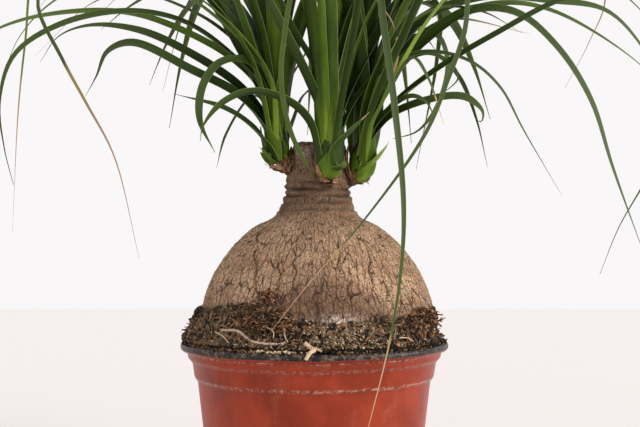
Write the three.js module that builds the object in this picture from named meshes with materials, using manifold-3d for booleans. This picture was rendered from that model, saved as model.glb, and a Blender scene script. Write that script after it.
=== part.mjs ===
// Ponytail palm with three leaf heads, standing in its soil in a thin nursery pot.
// Millimetres, +Z up, +X right and +Y back in the photo; the origin is under the pot's base.
import * as THREE from 'three';
import { mergeVertices } from 'three/addons/utils/BufferGeometryUtils.js';
import Module from 'manifold-3d';

const wasm = await Module();
wasm.setup();

// Driving sizes
const GAP = 0.35;
const FINEST_DETAIL = 0.08;
const RIM_RADIUS = 95;
const POT_HEIGHT = 145;
const POT_WALL = 1.2;
const POT_SIDES = 32;
const DRAIN_HOLES = 8;
const DRAIN_RADIUS = 4.5;
const DRAIN_CIRCLE = 47;
const SOIL_SEED = 41;
const CRUMBS = 36;
const TRUNK_SIDES = 30;
const TRUNK_RINGS = 29;
const TRUNK_AXIS = [2.5, 0];
const LEAF_THICKNESS = 1.5;
const LEAF_TURN = 0.56;
const LEAF_SPAN = 140;
const LEAF_SEED = 7;

// Colours seen in the photo
const TERRACOTTA = 0xb5442e;
const SOIL_BROWN = 0x3b2e22;
const BARK_BROWN = 0x86694f;
const LEAF_GREEN = 0x3d5a25;
const PALE_TWIG = 0xb9b2a0;
const TAN_CHIP = 0xb08a62;

// Leaf heads: where each one leaves the bark, its lean, and the size of its stem
const HEADS = {
  left: { seat: [-26, -3, 269.5], root: [-9, -1, 250], azimuth: 180, tilt: 9, radius: 6.8 },
  centre: { seat: [11.5, -24, 264], root: [8, -9, 248], azimuth: 0, tilt: 3, radius: 9 },
  right: { seat: [30, -4, 265], root: [16, -2, 247], azimuth: 0, tilt: 16, radius: 7.2 },
};
const FOOT_OUTLINE = [[0.5, -5], [0.82, -3]];
const STEM_OUTLINE = [[0.98, 0], [1.12, 16], [1.02, 34], [0.7, 50], [0.25, 62]];
const LEAF_START = 7;
const WIDE_SPREAD = 45;
const COLLAR_WALL = 1.6;
const LEAF_ROOM = 4;

// Leaves that the photo shows: width, roll in degrees, and points along the leaf
const SHOWN_LEAVES = {
  left: [
    [9, -40, [[-34, -12, 286], [-46, -20, 299], [-63, -30, 309], [-96, -38, 318]]],
    [11, -45, [[-35, -5, 297], [-52, -8, 318], [-87, -13, 337], [-127, -18, 355],
      [-144, -18, 349], [-152, -17, 332], [-160, -16, 318]]],
    [10, -45, [[-34, 2, 301], [-53, 5, 326], [-89, 11, 351], [-126, 15, 368],
      [-162, 16, 372], [-185, 17, 364], [-198, 17, 346]]],
    [10, -40, [[-37, 3, 321], [-56, 10, 344], [-90, 22, 366], [-135, 33, 383],
      [-188, 39, 384], [-233, 44, 374], [-267, 46, 352], [-287, 46, 317]]],
    [9, -40, [[-37, -4, 324], [-62, -14, 351], [-92, -31, 369], [-128, -47, 373], [-170, -60, 362],
      [-198, -69, 341], [-207, -72, 311], [-204, -72, 279], [-198, -72, 255]]],
    [7, -20, [[-43, -22, 341], [-74, -44, 385], [-123, -60, 414], [-167, -68, 409], [-182, -70, 377],
      [-166, -71, 339], [-150, -70, 309], [-132, -68, 274], [-116, -64, 206]]],
    [8, -20, [[-38, 20, 340], [-70, 60, 397], [-129, 104, 456], [-191, 134, 466],
      [-228, 148, 435], [-237, 152, 378], [-243, 152, 321], [-247, 148, 221]]],
    [14, -10, [[-31, -8, 306], [-43, -14, 347], [-54, -22, 381], [-70, -33, 416],
      [-96, -46, 443], [-131, -56, 446], [-162, -62, 425], [-177, -64, 391]]],
    [13, -20, [[-34, 2, 310], [-49, 6, 344], [-76, 18, 392], [-104, 28, 421],
      [-143, 38, 434], [-184, 44, 412], [-212, 47, 380]]],
    [13, 0, [[-31, 4, 310], [-37, 8, 353], [-38, 12, 390], [-45, 19, 439],
      [-63, 30, 479], [-100, 44, 500], [-140, 56, 493]]],
    [6, -20, [[-31, 6, 303], [-38, 16, 320], [-47, 24, 320], [-65, 32, 293], [-72, 34, 269]]],
    [8, -60, [[-28, -11, 312], [-36, -18, 333], [-49, -24, 343], [-65, -30, 340],
      [-76, -35, 324], [-78, -36, 300], [-68, -34, 278]]],
    [8, -30, [[-19, 6, 289], [-14, 10, 305], [-7, 16, 322], [6, 26, 329], [22, 37, 321]]],
    [6, -30, [[-21, 2, 310], [-19, 6, 327], [-11, 10, 343], [8, 16, 371], [28, 18, 388]]],
    [12, 0, [[-27, 14, 311], [-34, 22, 355], [-47, 31, 388], [-76, 44, 429],
      [-120, 62, 452], [-166, 78, 447]]],
    [11, 0, [[-24, 10, 318], [-23, 20, 358], [-29, 30, 389], [-45, 48, 437],
      [-83, 72, 481], [-128, 96, 496]]],
    [5, -20, [[-38, 24, 339], [-65, 38, 369], [-92, 46, 387], [-135, 56, 402],
      [-168, 62, 395], [-212, 68, 356]]],
    [6, -30, [[-32, -14, 327], [-48, -18, 353], [-86, -28, 385], [-132, -39, 401],
      [-177, -48, 379], [-199, -52, 354], [-209, -54, 328]]],
    [7, -30, [[-30, -22, 329], [-49, -32, 358], [-77, -46, 382], [-116, -64, 406], [-159, -80, 401]]],
    [7, -10, [[-31, 20, 326], [-39, 46, 374], [-57, 74, 419], [-81, 94, 424],
      [-101, 106, 398], [-109, 109, 375], [-120, 110, 332]]],
    [5, -30, [[-33, -12, 278], [-39, -16, 283]]],
  ],
  centre: [
    [8, 40, [[2, -30, 281], [-3, -34, 299], [-16, -39, 312], [-42, -44, 319],
      [-62, -46, 311], [-75, -47, 295], [-77, -46, 285]]],
    [9, 0, [[8, -36, 307], [6, -46, 354], [3, -54, 396], [-4, -62, 420], [-11, -68, 397],
      [-18, -72, 360], [-21, -72, 324], [-15, -69, 291], [0, -62, 260]]],
    [8, 0, [[18, -40, 307], [26, -66, 351], [33, -92, 388], [40, -106, 387], [44, -118, 354],
      [50, -125, 307], [56, -127, 244], [55, -126, 206], [48, -124, 158], [33, -120, 96]]],
    [8, 40, [[19, -26, 292], [31, -22, 318], [58, -14, 343], [82, -8, 350],
      [111, -1, 344], [133, 4, 326], [150, 7, 296], [178, 10, 249]]],
    [6, 0, [[14, -36, 279], [23, -40, 290], [38, -45, 305]]],
    [14, 0, [[4, -30, 287], [2, -34, 328], [-2, -38, 368], [-11, -46, 413],
      [-32, -60, 451], [-65, -78, 464], [-97, -94, 450]]],
    [14, 0, [[11, -34, 293], [10, -40, 341], [9, -48, 387], [4, -60, 436],
      [-11, -80, 470], [-38, -104, 478]]],
    [13, 10, [[15, -30, 294], [20, -32, 328], [33, -37, 382], [55, -44, 430],
      [92, -52, 460], [138, -58, 462], [174, -62, 440]]],
    [12, 20, [[18, -22, 298], [27, -18, 324], [55, -6, 378], [90, 6, 419],
      [138, 18, 440], [187, 28, 435], [224, 34, 406]]],
    [9, 20, [[6, -30, 301], [-3, -34, 326], [-20, -42, 360], [-40, -49, 394], [-68, -56, 414]]],
    [9, 20, [[8, -24, 304], [2, -24, 334], [-16, -28, 366], [-33, -35, 402], [-56, -42, 425]]],
    [18, 0, [[12, -36, 266], [12, -37, 275]]],
    [7, 0, [[20, -36, 268], [21, -38, 273]]],
    [12, 0, [[14, -24, 301], [19, -20, 343], [27, -14, 387], [44, -4, 441], [76, 10, 480], [121, 24, 495]]],
  ],
  right: [
    [11, 40, [[38, -6, 289], [54, -9, 311], [88, -14, 338], [130, -19, 363],
      [171, -24, 384], [212, -28, 393], [247, -31, 382], [271, -32, 350]]],
    [12, 40, [[37, -2, 292], [50, 0, 322], [79, 4, 358], [112, 8, 381], [145, 11, 380],
      [175, 15, 356], [200, 18, 318], [216, 20, 271], [244, 21, 195]]],
    [12, 40, [[34, 6, 296], [47, 12, 331], [77, 22, 375], [122, 32, 394], [174, 40, 393],
      [217, 47, 387], [243, 50, 363], [262, 52, 327], [268, 52, 291]]],
    [7, 40, [[39, 10, 300], [55, 21, 337], [93, 37, 376], [139, 50, 393],
      [181, 59, 388], [248, 72, 350], [273, 74, 321]]],
    [8, 50, [[38, -14, 288], [50, -21, 306], [67, -28, 317], [77, -33, 313], [83, -35, 302]]],
    [8, 50, [[40, -10, 284], [52, -16, 303], [81, -26, 315], [104, -32, 316],
      [116, -34, 306], [115, -34, 299], [111, -34, 301]]],
    [7, 40, [[41, 4, 304], [58, 8, 340], [81, 8, 351], [98, 6, 343], [103, 5, 333], [90, 5, 320]]],
    [7, 40, [[39, 12, 305], [51, 16, 336], [71, 21, 362], [89, 24, 366], [97, 26, 347],
      [90, 24, 316], [75, 21, 296], [57, 18, 290]]],
    [6, 20, [[40, -24, 297], [54, -36, 324], [67, -45, 342], [77, -50, 328], [88, -50, 296]]],
    [7, 0, [[41, 30, 312], [65, 60, 367], [84, 80, 406], [96, 90, 395], [95, 94, 356], [79, 93, 270]]],
    [9, 0, [[40, -30, 304], [58, -58, 349], [79, -84, 389], [95, -97, 389], [97, -103, 358],
      [85, -106, 321], [71, -107, 287], [33, -107, 233], [-4, -106, 190], [-27, -105, 161]]],
    [13, 20, [[39, -16, 298], [52, -28, 322], [80, -38, 370], [113, -46, 404],
      [157, -58, 421], [198, -66, 410], [229, -70, 381]]],
    [12, 20, [[38, -6, 302], [49, -2, 337], [78, -5, 390], [115, -13, 432],
      [165, -16, 454], [217, -18, 448], [253, -18, 420]]],
    [13, 0, [[33, 2, 296], [39, 6, 332], [52, 11, 382], [77, 20, 437],
      [119, 32, 478], [172, 44, 493], [217, 52, 477]]],
    [13, 0, [[30, 8, 296], [32, 18, 340], [41, 32, 400], [63, 54, 465], [101, 80, 509], [149, 104, 526]]],
    [5, 20, [[40, -26, 297], [48, -35, 314], [57, -43, 342], [54, -47, 364], [41, -50, 383]]],
    [9, 20, [[40, -9, 270], [46, -14, 276], [53, -18, 287]]],
    [6, 0, [[45, 40, 324], [86, 90, 386], [150, 138, 438], [211, 170, 455],
      [244, 183, 419], [232, 186, 382], [211, 186, 342]]],
    [8, 20, [[36, -20, 308], [58, -50, 360], [102, -86, 407], [156, -112, 416], [199, -130, 384],
      [216, -139, 324], [208, -143, 269], [186, -143, 227], [175, -142, 199]]],
    [5, 30, [[43, 16, 318], [69, 34, 359], [101, 44, 380], [161, 54, 371]]],
    [8, 30, [[38, 30, 316], [65, 60, 382], [120, 88, 437], [194, 108, 436],
      [251, 118, 406], [301, 125, 346]]],
  ],
};

// Leaves on the far side of each head: how many, and the directions that they spread over
const BACK_LEAVES = { left: [5, 88, 135], centre: [4, 80, 96], right: [5, 50, 92] };

const radians = (degrees) => degrees * Math.PI / 180;
const smooth = (x) => {
  const t = Math.min(1, Math.max(0, x));
  return t * t * (3 - 2 * t);
};
const vector = (p) => new THREE.Vector3(...p);

// Repeatable random numbers from a seed
function seeded(seed) {
  let state = seed >>> 0;
  return () => {
    state = (state + 0x6d2b79f5) >>> 0;
    let t = Math.imul(state ^ (state >>> 15), state | 1);
    t = (t + Math.imul(t ^ (t >>> 7), t | 61)) ^ t;
    return ((t ^ (t >>> 14)) >>> 0) / 4294967296;
  };
}

// A closed geometry as a solid that can be joined and cut, and back again
function solid(geometry) {
  const bare = geometry.clone();
  bare.deleteAttribute('normal');
  bare.deleteAttribute('uv');
  const merged = mergeVertices(bare, 1e-4);
  const mesh = new wasm.Mesh({
    numProp: 3,
    vertProperties: new Float32Array(merged.attributes.position.array),
    triVerts: new Uint32Array(merged.index.array),
  });
  return new wasm.Manifold(mesh);
}

function geometryOf(manifold) {
  const mesh = manifold.getMesh();
  const geometry = new THREE.BufferGeometry();
  geometry.setAttribute('position', new THREE.BufferAttribute(mesh.vertProperties, 3));
  geometry.setIndex(new THREE.BufferAttribute(mesh.triVerts, 1));
  geometry.computeVertexNormals();
  return geometry;
}

const joined = (solids) => solids.reduce((sum, next) => sum.add(next));
const largest = (pieces) => pieces.reduce((a, b) => (b.volume() > a.volume() ? b : a));

function meshGeometry(positions, triangles) {
  const geometry = new THREE.BufferGeometry();
  geometry.setAttribute('position', new THREE.Float32BufferAttribute(positions, 3));
  geometry.setIndex(triangles);
  return geometry;
}

// Profile of [radius, height] pairs turned about the Z axis
function turned(profile, sides) {
  const points = profile.map(([r, z]) => new THREE.Vector2(r, z));
  return new THREE.LatheGeometry(points, sides).rotateX(Math.PI / 2);
}

// Closed skin over rings of points, with one point at each end
function skin(start, rings, end) {
  const sides = rings[0].length;
  const positions = [...start, ...rings.flat(2), ...end];
  const last = 1 + rings.length * sides;
  const triangles = [];
  for (let k = 0; k < sides; k += 1) {
    const next = (k + 1) % sides;
    triangles.push(0, 1 + next, 1 + k);
    for (let i = 0; i < rings.length - 1; i += 1) {
      const a = 1 + i * sides;
      const b = a + sides;
      triangles.push(a + k, a + next, b + next, a + k, b + next, b + k);
    }
    const top = 1 + (rings.length - 1) * sides;
    triangles.push(top + k, top + next, last);
  }
  return meshGeometry(positions, triangles);
}

// Round rod between two points, thicker at one end
function rod(from, to, radiusFrom, radiusTo, sides) {
  const a = vector(from);
  const b = vector(to);
  const geometry = new THREE.CylinderGeometry(radiusTo, radiusFrom, a.distanceTo(b), sides);
  geometry.rotateX(Math.PI / 2);
  const turn = new THREE.Quaternion().setFromUnitVectors(vector([0, 0, 1]), b.clone().sub(a).normalize());
  geometry.applyQuaternion(turn);
  const middle = a.add(b).multiplyScalar(0.5);
  return geometry.translate(middle.x, middle.y, middle.z);
}

// Tapered root or twig along chosen points
function taperedTube(points, radiusFrom, radiusTo, sides, steps, grow) {
  const curve = new THREE.CatmullRomCurve3(points.map(vector), false, 'centripetal');
  const frames = curve.computeFrenetFrames(steps, false);
  const rings = [];
  for (let i = 0; i <= steps; i += 1) {
    const centre = curve.getPointAt(i / steps);
    const radius = radiusFrom + (radiusTo - radiusFrom) * i / steps + grow;
    const ring = [];
    for (let k = 0; k < sides; k += 1) {
      const angle = 2 * Math.PI * k / sides;
      const p = centre.clone();
      p.addScaledVector(frames.normals[i], radius * Math.cos(angle));
      p.addScaledVector(frames.binormals[i], radius * Math.sin(angle));
      ring.push([p.x, p.y, p.z]);
    }
    rings.push(ring);
  }
  const start = curve.getPointAt(0).addScaledVector(frames.tangents[0], -grow - 0.2);
  const end = curve.getPointAt(1).addScaledVector(frames.tangents[steps], grow + radiusTo * 0.5);
  return skin([start.x, start.y, start.z], rings, [end.x, end.y, end.z]);
}

// Pot: thin wall with two ledges under a rolled rim, and a raised ring of drain holes
const FOOT_RADIUS = 68.4;
const POT_OUTSIDE = [
  [0, 0], [34, 0], [36, 3], [58, 3], [60, 0], [67.5, 0], [FOOT_RADIUS, 1],
  [82.6, 117.5], [85, 121], [86.5, 131], [89.6, 134.5], [90.4, 139],
  [93.6, 139.6], [RIM_RADIUS, 141.2], [RIM_RADIUS, 143.6], [93.8, POT_HEIGHT],
];
const POT_INSIDE = [
  [90, POT_HEIGHT], [88.8, 143.4], [88.4, 135.4], [85.2, 131.8], [83.8, 121.8], [81.3, 118],
  [67.2, POT_WALL], [60.6, POT_WALL], [58.6, 3 + POT_WALL], [35.4, 3 + POT_WALL], [33.4, POT_WALL],
  [0, POT_WALL],
];

function potSolid() {
  const shell = solid(turned([...POT_OUTSIDE, ...POT_INSIDE], POT_SIDES));
  const holes = [];
  for (let k = 0; k < DRAIN_HOLES; k += 1) {
    const angle = 2 * Math.PI * k / DRAIN_HOLES;
    const x = DRAIN_CIRCLE * Math.cos(angle);
    const y = DRAIN_CIRCLE * Math.sin(angle);
    holes.push(solid(rod([x, y, 1], [x, y, 8], DRAIN_RADIUS, DRAIN_RADIUS, 12)));
  }
  return shell.subtract(joined(holes));
}

// Trunk: swollen base, ringed neck and cut top, as [radius, height] pairs
const TRUNK_OUTLINE = [
  [30, 78], [58, 92], [72, 110], [79, 128], [82.2, 148], [81.6, 167], [77.6, 181.5], [71.2, 195.8],
  [61.6, 210], [55, 217], [46.6, 224.3], [40.5, 228], [33, 231.4], [28.4, 235], [26.4, 239],
  [23.8, 245.6], [22.7, 252.7], [22.9, 259], [22, 264], [20.4, 269], [19, 277], [18.2, 284],
];
const TRUNK_FOOT = 71;
const TRUNK_TOP = 286;
const NECK_RINGS = [237, 243.5, 247.5, 255];
const NECK_SHIFT = [0.8, 5];

// Shallow lumps on the swollen base and ridges round the neck
function barkRelief(angle, z) {
  const lumps = Math.sin(3 * angle + 0.05 * z) + 0.7 * Math.sin(5 * angle - 0.09 * z + 1.3);
  const ridges = NECK_RINGS.reduce((sum, ring) => sum + Math.exp(-(((z - ring) / 1.6) ** 2)), 0);
  const neck = smooth((z - 228) / 10);
  return lumps * (0.9 - 0.5 * neck) + ridges * 0.9;
}

function trunkBody(grow) {
  const outline = new THREE.SplineCurve(TRUNK_OUTLINE.map(([r, z]) => new THREE.Vector2(r, z)));
  const rings = outline.getPoints(TRUNK_RINGS).map(({ x: radius, y: z }) => {
    const shift = smooth((z - 226) / 50);
    const ring = [];
    for (let k = 0; k < TRUNK_SIDES; k += 1) {
      const angle = 2 * Math.PI * k / TRUNK_SIDES;
      const r = radius + barkRelief(angle, z) + grow;
      const x = TRUNK_AXIS[0] + NECK_SHIFT[0] * shift + r * Math.cos(angle);
      const y = TRUNK_AXIS[1] + NECK_SHIFT[1] * shift + r * Math.sin(angle);
      ring.push([x, y, z]);
    }
    return ring;
  });
  const foot = [TRUNK_AXIS[0], TRUNK_AXIS[1], TRUNK_FOOT - grow];
  const top = [TRUNK_AXIS[0] + NECK_SHIFT[0], NECK_SHIFT[1], TRUNK_TOP + grow];
  return solid(skin(foot, rings, top));
}

// Thick roots that run from the swollen base down into the soil
const ROOT_ANGLES = [20, 92, 164, 236, 308];

function rootSolids(grow) {
  return ROOT_ANGLES.map((degrees, k) => {
    const angle = radians(degrees);
    const bend = angle + (k % 2 ? 0.35 : -0.3);
    const at = (r, a, z) => [TRUNK_AXIS[0] + r * Math.cos(a), r * Math.sin(a), z];
    const points = [at(38, angle, 92), at(52, angle, 74), at(60, bend, 50), at(54, bend, 24)];
    return solid(taperedTube(points, 5.5, 2, 5, 4, grow));
  });
}

// Direction in which a head grows
function headAxis(head) {
  const azimuth = radians(head.azimuth);
  const tilt = radians(head.tilt);
  return vector([Math.cos(azimuth) * Math.sin(tilt), Math.sin(azimuth) * Math.sin(tilt), Math.cos(tilt)]);
}

function alongHead(head, distance) {
  const p = vector(head.seat).addScaledVector(headAxis(head), distance);
  return [p.x, p.y, p.z];
}

// Shape turned about a head's own axis, from [radius, height above its seat] pairs
function headTurned(head, profile) {
  const turn = new THREE.Quaternion().setFromUnitVectors(vector([0, 0, 1]), headAxis(head));
  return solid(turned(profile, 12).applyQuaternion(turn).translate(...head.seat));
}

// Rounded foot of a head's stem, and the bark cup that holds it
function footProfile(head, grow) {
  const foot = FOOT_OUTLINE.map(([share, height]) => [share * head.radius + grow, height - grow]);
  return [[0, foot[0][1]], ...foot, [STEM_OUTLINE[0][0] * head.radius + grow, 0]];
}

function collarProfile(head) {
  const lip = head.radius + COLLAR_WALL;
  return [[0, -9], [0.5 * head.radius + COLLAR_WALL, -8], [0.85 * head.radius + COLLAR_WALL, -4], [lip, -0.5],
    [lip, 1], [0, 1]];
}

function trunkSolid() {
  const heads = Object.values(HEADS);
  const collars = heads.map((head) => headTurned(head, collarProfile(head)));
  const branches = heads.map((head) => {
    return solid(rod(head.root, alongHead(head, -4), head.radius, head.radius, 12));
  });
  const sockets = heads.map((head) => {
    return headTurned(head, [...footProfile(head, GAP), [head.radius + GAP, 12], [0, 12]]);
  });
  const leafRoom = heads.map((head) => {
    const radius = head.radius + LEAF_ROOM;
    return solid(rod(alongHead(head, 1.2), alongHead(head, 50), radius, radius + 3, 10));
  });
  const body = joined([trunkBody(0), ...rootSolids(0), ...branches, ...collars]);
  return largest(body.subtract(joined([...sockets, ...leafRoom])).decompose());
}

// Soil: fills the pot, spills a little over the rim and rises to the trunk
const SOIL_WALL = [[66.8, 5.2], [80.6, 117.6], [83.4, 123], [84.6, 132.4], [87.9, 136.4],
  [88.6, POT_HEIGHT + GAP]];
const SOIL_FLOOR = 4.6;

function soilEdge(angle) {
  return 90.6 + 3.6 * Math.exp(-(((angle - Math.PI) / 0.5) ** 2)) + 0.5 * Math.sin(7 * angle);
}

function soilHeight(radius, angle) {
  const left = Math.exp(-(((angle - 3.4) / 0.9) ** 2));
  const frontLeft = Math.exp(-(((angle - 4.15) / 0.35) ** 2));
  const rise = smooth((soilEdge(angle) - radius) / 13);
  const lumps = 0.8 * Math.sin(9 * angle + 0.3 * radius) + 0.6 * Math.sin(17 * angle - 0.5 * radius);
  return 147.4 + rise * (13 + 8 * left + 7 * frontLeft) + lumps * smooth((soilEdge(angle) - radius) / 3);
}

function soilPoint(radius, angle) {
  return [radius * Math.cos(angle), radius * Math.sin(angle), soilHeight(radius, angle)];
}

function soilBody() {
  const wall = SOIL_WALL.map(([r, z]) => {
    const ring = [];
    for (let k = 0; k < POT_SIDES; k += 1) {
      const angle = 2 * Math.PI * k / POT_SIDES;
      ring.push([(r - GAP) * Math.cos(angle), (r - GAP) * Math.sin(angle), z]);
    }
    return ring;
  });
  const mound = [0, 2.5, 5, 8, 11, 16].map((inset) => {
    const ring = [];
    for (let k = 0; k < POT_SIDES; k += 1) {
      const angle = 2 * Math.PI * k / POT_SIDES;
      ring.push(soilPoint(soilEdge(angle) - inset, angle));
    }
    return ring;
  });
  const overRim = mound[0].map(([x, y]) => [x * 0.992, y * 0.992, POT_HEIGHT + GAP]);
  return solid(skin([0, 0, SOIL_FLOOR], [...wall, overRim, ...mound], [0, 0, 160]));
}

// Bark bits and grit standing out of the soil
function crumbSolids() {
  const random = seeded(SOIL_SEED);
  const crumbs = [];
  for (let k = 0; k < CRUMBS; k += 1) {
    const angle = (k * 2.39996 + 0.2 * random()) % (2 * Math.PI);
    const size = 1.8 + 2.2 * random();
    const radius = soilEdge(angle) - size - 1.5 - 5 * random();
    const [x, y, z] = soilPoint(radius, angle);
    const crumb = new THREE.IcosahedronGeometry(size, 0);
    crumb.scale(1, 0.6 + 0.4 * random(), 0.5 + 0.4 * random());
    crumb.rotateX(3 * random()).rotateZ(6 * random());
    crumbs.push(solid(crumb.translate(x, y, z + 0.15 * size)));
  }
  return crumbs;
}

// Loose forked twig bedded on the soil, and a curl of bark that hangs over the rim
const TWIG = [[-61, -59, 158], [-50, -68.7, 158], [-39.5, -77.6, 151.8], [-26, -83.8, 150.9],
  [-18, -85.2, 151.6]];
const TWIG_BRANCH = [[-55, -64.5, 158.4], [-58.5, -60.5, 160.2], [-62, -57, 161.4]];
const CHIP = [[-5.5, -87.5, 151.5], [-1.5, -90, 148.8], [0.5, -93, 147.8], [-2, -97.2, 146.5],
  [-5, -98.2, 142]];

function twigSolid(grow) {
  const stem = solid(taperedTube(TWIG, 1.2, 0.8, 7, 12, grow));
  const branch = solid(taperedTube(TWIG_BRANCH, 1, 0.6, 6, 4, grow));
  return stem.add(branch);
}

function chipSolid(grow) {
  return solid(taperedTube(CHIP, 1.7, 1.3, 8, 12, grow));
}

function soilSolid() {
  const full = joined([soilBody(), ...crumbSolids()]);
  const room = joined([trunkBody(GAP), ...rootSolids(GAP), twigSolid(GAP), chipSolid(GAP)]);
  return largest(full.subtract(room).decompose());
}

// Width of a leaf along its length: a broad sheath, then a long fine point
function leafWidth(width, along, distance) {
  const sheath = 1 + 0.35 * (1 - smooth(distance / 26));
  const taper = (1 - 0.25 * along) * (1 - smooth((along - 0.45) / 0.55));
  return width * sheath * taper + 0.6;
}

// One leaf: channelled above, keeled below, turned by its roll once it is clear of the head
function leafSolid(head, width, roll, points) {
  const middle = points[Math.floor(points.length / 2)];
  const azimuth = Math.atan2(middle[1] - head.seat[1], middle[0] - head.seat[0]);
  const out = vector([Math.cos(azimuth), Math.sin(azimuth), 0]);
  const spread = vector(points[0]).sub(vector(head.seat)).angleTo(headAxis(head));
  const setBack = 0.15 + 0.65 * smooth(spread / radians(WIDE_SPREAD));
  const start = vector(alongHead(head, LEAF_START)).addScaledVector(out, head.radius * setBack);
  const curve = new THREE.CatmullRomCurve3([start, ...points.map(vector)], false, 'centripetal');
  const length = curve.getLength();
  const side = vector([-Math.sin(azimuth), Math.cos(azimuth), 0]);
  const rings = leafStations(curve, length).map((along) => {
    const centre = curve.getPointAt(along);
    const tangent = curve.getTangentAt(along);
    side.addScaledVector(tangent, -side.dot(tangent)).normalize();
    const lean = radians(roll) * smooth(along * 3);
    const across = side.clone().multiplyScalar(Math.cos(lean));
    across.addScaledVector(tangent.clone().cross(side), Math.sin(lean));
    const down = across.clone().cross(tangent);
    const half = leafWidth(width, along, along * length) / 2;
    const left = centre.clone().addScaledVector(across, -half);
    const keel = centre.clone().addScaledVector(down, LEAF_THICKNESS);
    const right = centre.clone().addScaledVector(across, half);
    return [left, keel, right].map((p) => [p.x, p.y, p.z]);
  });
  return solid(leafSkin(rings, curve.getPointAt(1)));
}

// Places along a leaf, closer together where it bends
function leafStations(curve, length) {
  const fine = 80;
  const stations = [0];
  let due = 0;
  let before = curve.getTangentAt(0);
  for (let i = 1; i < fine - 3; i += 1) {
    const tangent = curve.getTangentAt(i / fine);
    due += tangent.angleTo(before) / LEAF_TURN + length / fine / LEAF_SPAN;
    before = tangent;
    if (due >= 1) {
      stations.push(i / fine);
      due = 0;
    }
  }
  return stations;
}

// Skin of a leaf: both faces split along the same diagonals, a flat base and a pointed tip
function leafSkin(rings, tip) {
  const positions = [...rings.flat(2), tip.x, tip.y, tip.z];
  const end = rings.length * 3;
  const triangles = [0, 2, 1];
  for (let i = 0; i < rings.length - 1; i += 1) {
    const [left, keel, right] = [i * 3, i * 3 + 1, i * 3 + 2];
    triangles.push(left, keel, keel + 3, left, keel + 3, left + 3);
    triangles.push(keel, right, right + 3, keel, right + 3, keel + 3);
    triangles.push(right, left, right + 3, left, left + 3, right + 3);
  }
  const last = end - 3;
  for (let k = 0; k < 3; k += 1) triangles.push(last + k, last + (k + 1) % 3, end);
  return meshGeometry(positions, triangles);
}

// Leaves behind a head, spread over its free directions by a seeded rule
function backLeaves(name) {
  const [count, from, to] = BACK_LEAVES[name];
  const head = HEADS[name];
  const random = seeded(LEAF_SEED + name.length);
  const leaves = [];
  for (let k = 0; k < count; k += 1) {
    const azimuth = radians(from + (to - from) * ((k * 0.618 + 0.1 * random()) % 1));
    const length = 230 + 200 * random();
    const rise = 58 + 22 * random();
    const fall = -10 - 60 * random();
    const p = vector(alongHead(head, 14));
    const points = [];
    for (let i = 0; i < 6; i += 1) {
      const elevation = radians(rise + (fall - rise) * smooth((i + 0.5) / 6 / 0.95));
      const step = vector([Math.cos(azimuth) * Math.cos(elevation),
        Math.sin(azimuth) * Math.cos(elevation), Math.sin(elevation)]);
      p.addScaledVector(step, length / 6);
      points.push([p.x, p.y, p.z]);
    }
    leaves.push([9 + 4 * random(), 20 - 40 * random(), points]);
  }
  return leaves;
}

// Stem of a head: stands in its socket and swells where the leaf bases wrap it
function stemSolid(head) {
  const [, ...swelling] = STEM_OUTLINE.map(([share, height]) => [share * head.radius, height]);
  const top = STEM_OUTLINE.at(-1)[1] + 3;
  return headTurned(head, [...footProfile(head, 0), ...swelling, [0, top]]);
}

// A head's stem with all of its leaves growing out of it
function headSolid(name) {
  const head = HEADS[name];
  const leaves = [...SHOWN_LEAVES[name], ...backLeaves(name)];
  const blades = leaves.map(([width, roll, points]) => leafSolid(head, width, roll, points));
  const whole = joined([stemSolid(head), ...blades]).simplify(FINEST_DETAIL);
  return largest(whole.decompose());
}

function mesh(name, shape, color, roughness) {
  const material = new THREE.MeshStandardMaterial({ color, roughness, metalness: 0 });
  const piece = new THREE.Mesh(geometryOf(shape), material);
  piece.name = name;
  return piece;
}

const palm = new THREE.Group();
palm.add(mesh('pot', potSolid(), TERRACOTTA, 0.6));
palm.add(mesh('soil', soilSolid(), SOIL_BROWN, 0.95));
palm.add(mesh('trunk', trunkSolid(), BARK_BROWN, 0.9));
for (const name of Object.keys(HEADS)) palm.add(mesh(`head_${name}`, headSolid(name), LEAF_GREEN, 0.5));
palm.add(mesh('twig', twigSolid(0), PALE_TWIG, 0.9));
palm.add(mesh('bark_chip', chipSolid(0), TAN_CHIP, 0.9));

export default palm;
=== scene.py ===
# Ponytail palm in its nursery pot: the finished look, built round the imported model.
# Lengths are millimetres until a mesh is made. +Z is up, +X right and +Y back in the photo.
import math

import bpy
import numpy as np
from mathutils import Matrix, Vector
from mathutils.kdtree import KDTree


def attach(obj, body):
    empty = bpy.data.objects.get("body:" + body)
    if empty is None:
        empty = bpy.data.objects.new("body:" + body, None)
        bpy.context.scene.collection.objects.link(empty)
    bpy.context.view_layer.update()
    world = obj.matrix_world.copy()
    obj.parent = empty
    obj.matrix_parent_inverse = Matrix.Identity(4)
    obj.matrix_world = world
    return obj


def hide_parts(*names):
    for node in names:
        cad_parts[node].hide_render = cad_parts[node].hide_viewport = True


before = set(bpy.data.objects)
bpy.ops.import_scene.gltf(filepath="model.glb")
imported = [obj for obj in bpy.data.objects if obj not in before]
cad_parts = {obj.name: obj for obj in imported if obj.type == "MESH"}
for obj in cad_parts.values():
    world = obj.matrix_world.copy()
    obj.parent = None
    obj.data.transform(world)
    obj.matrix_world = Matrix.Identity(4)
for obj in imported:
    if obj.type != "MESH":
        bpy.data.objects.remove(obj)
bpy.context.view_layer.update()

MM = 0.001

# Camera of the photo: 640 x 427 pixels, level, looking along +Y
CAMERA_PLACE = (4.3, -996, 236)
FOCAL_PIXELS = 1400
PHOTO_WIDTH = 640
SENSOR_WIDTH = 36

# How finely a curve is worked out between two of its points
STEPS_A_STRETCH = 24

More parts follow.
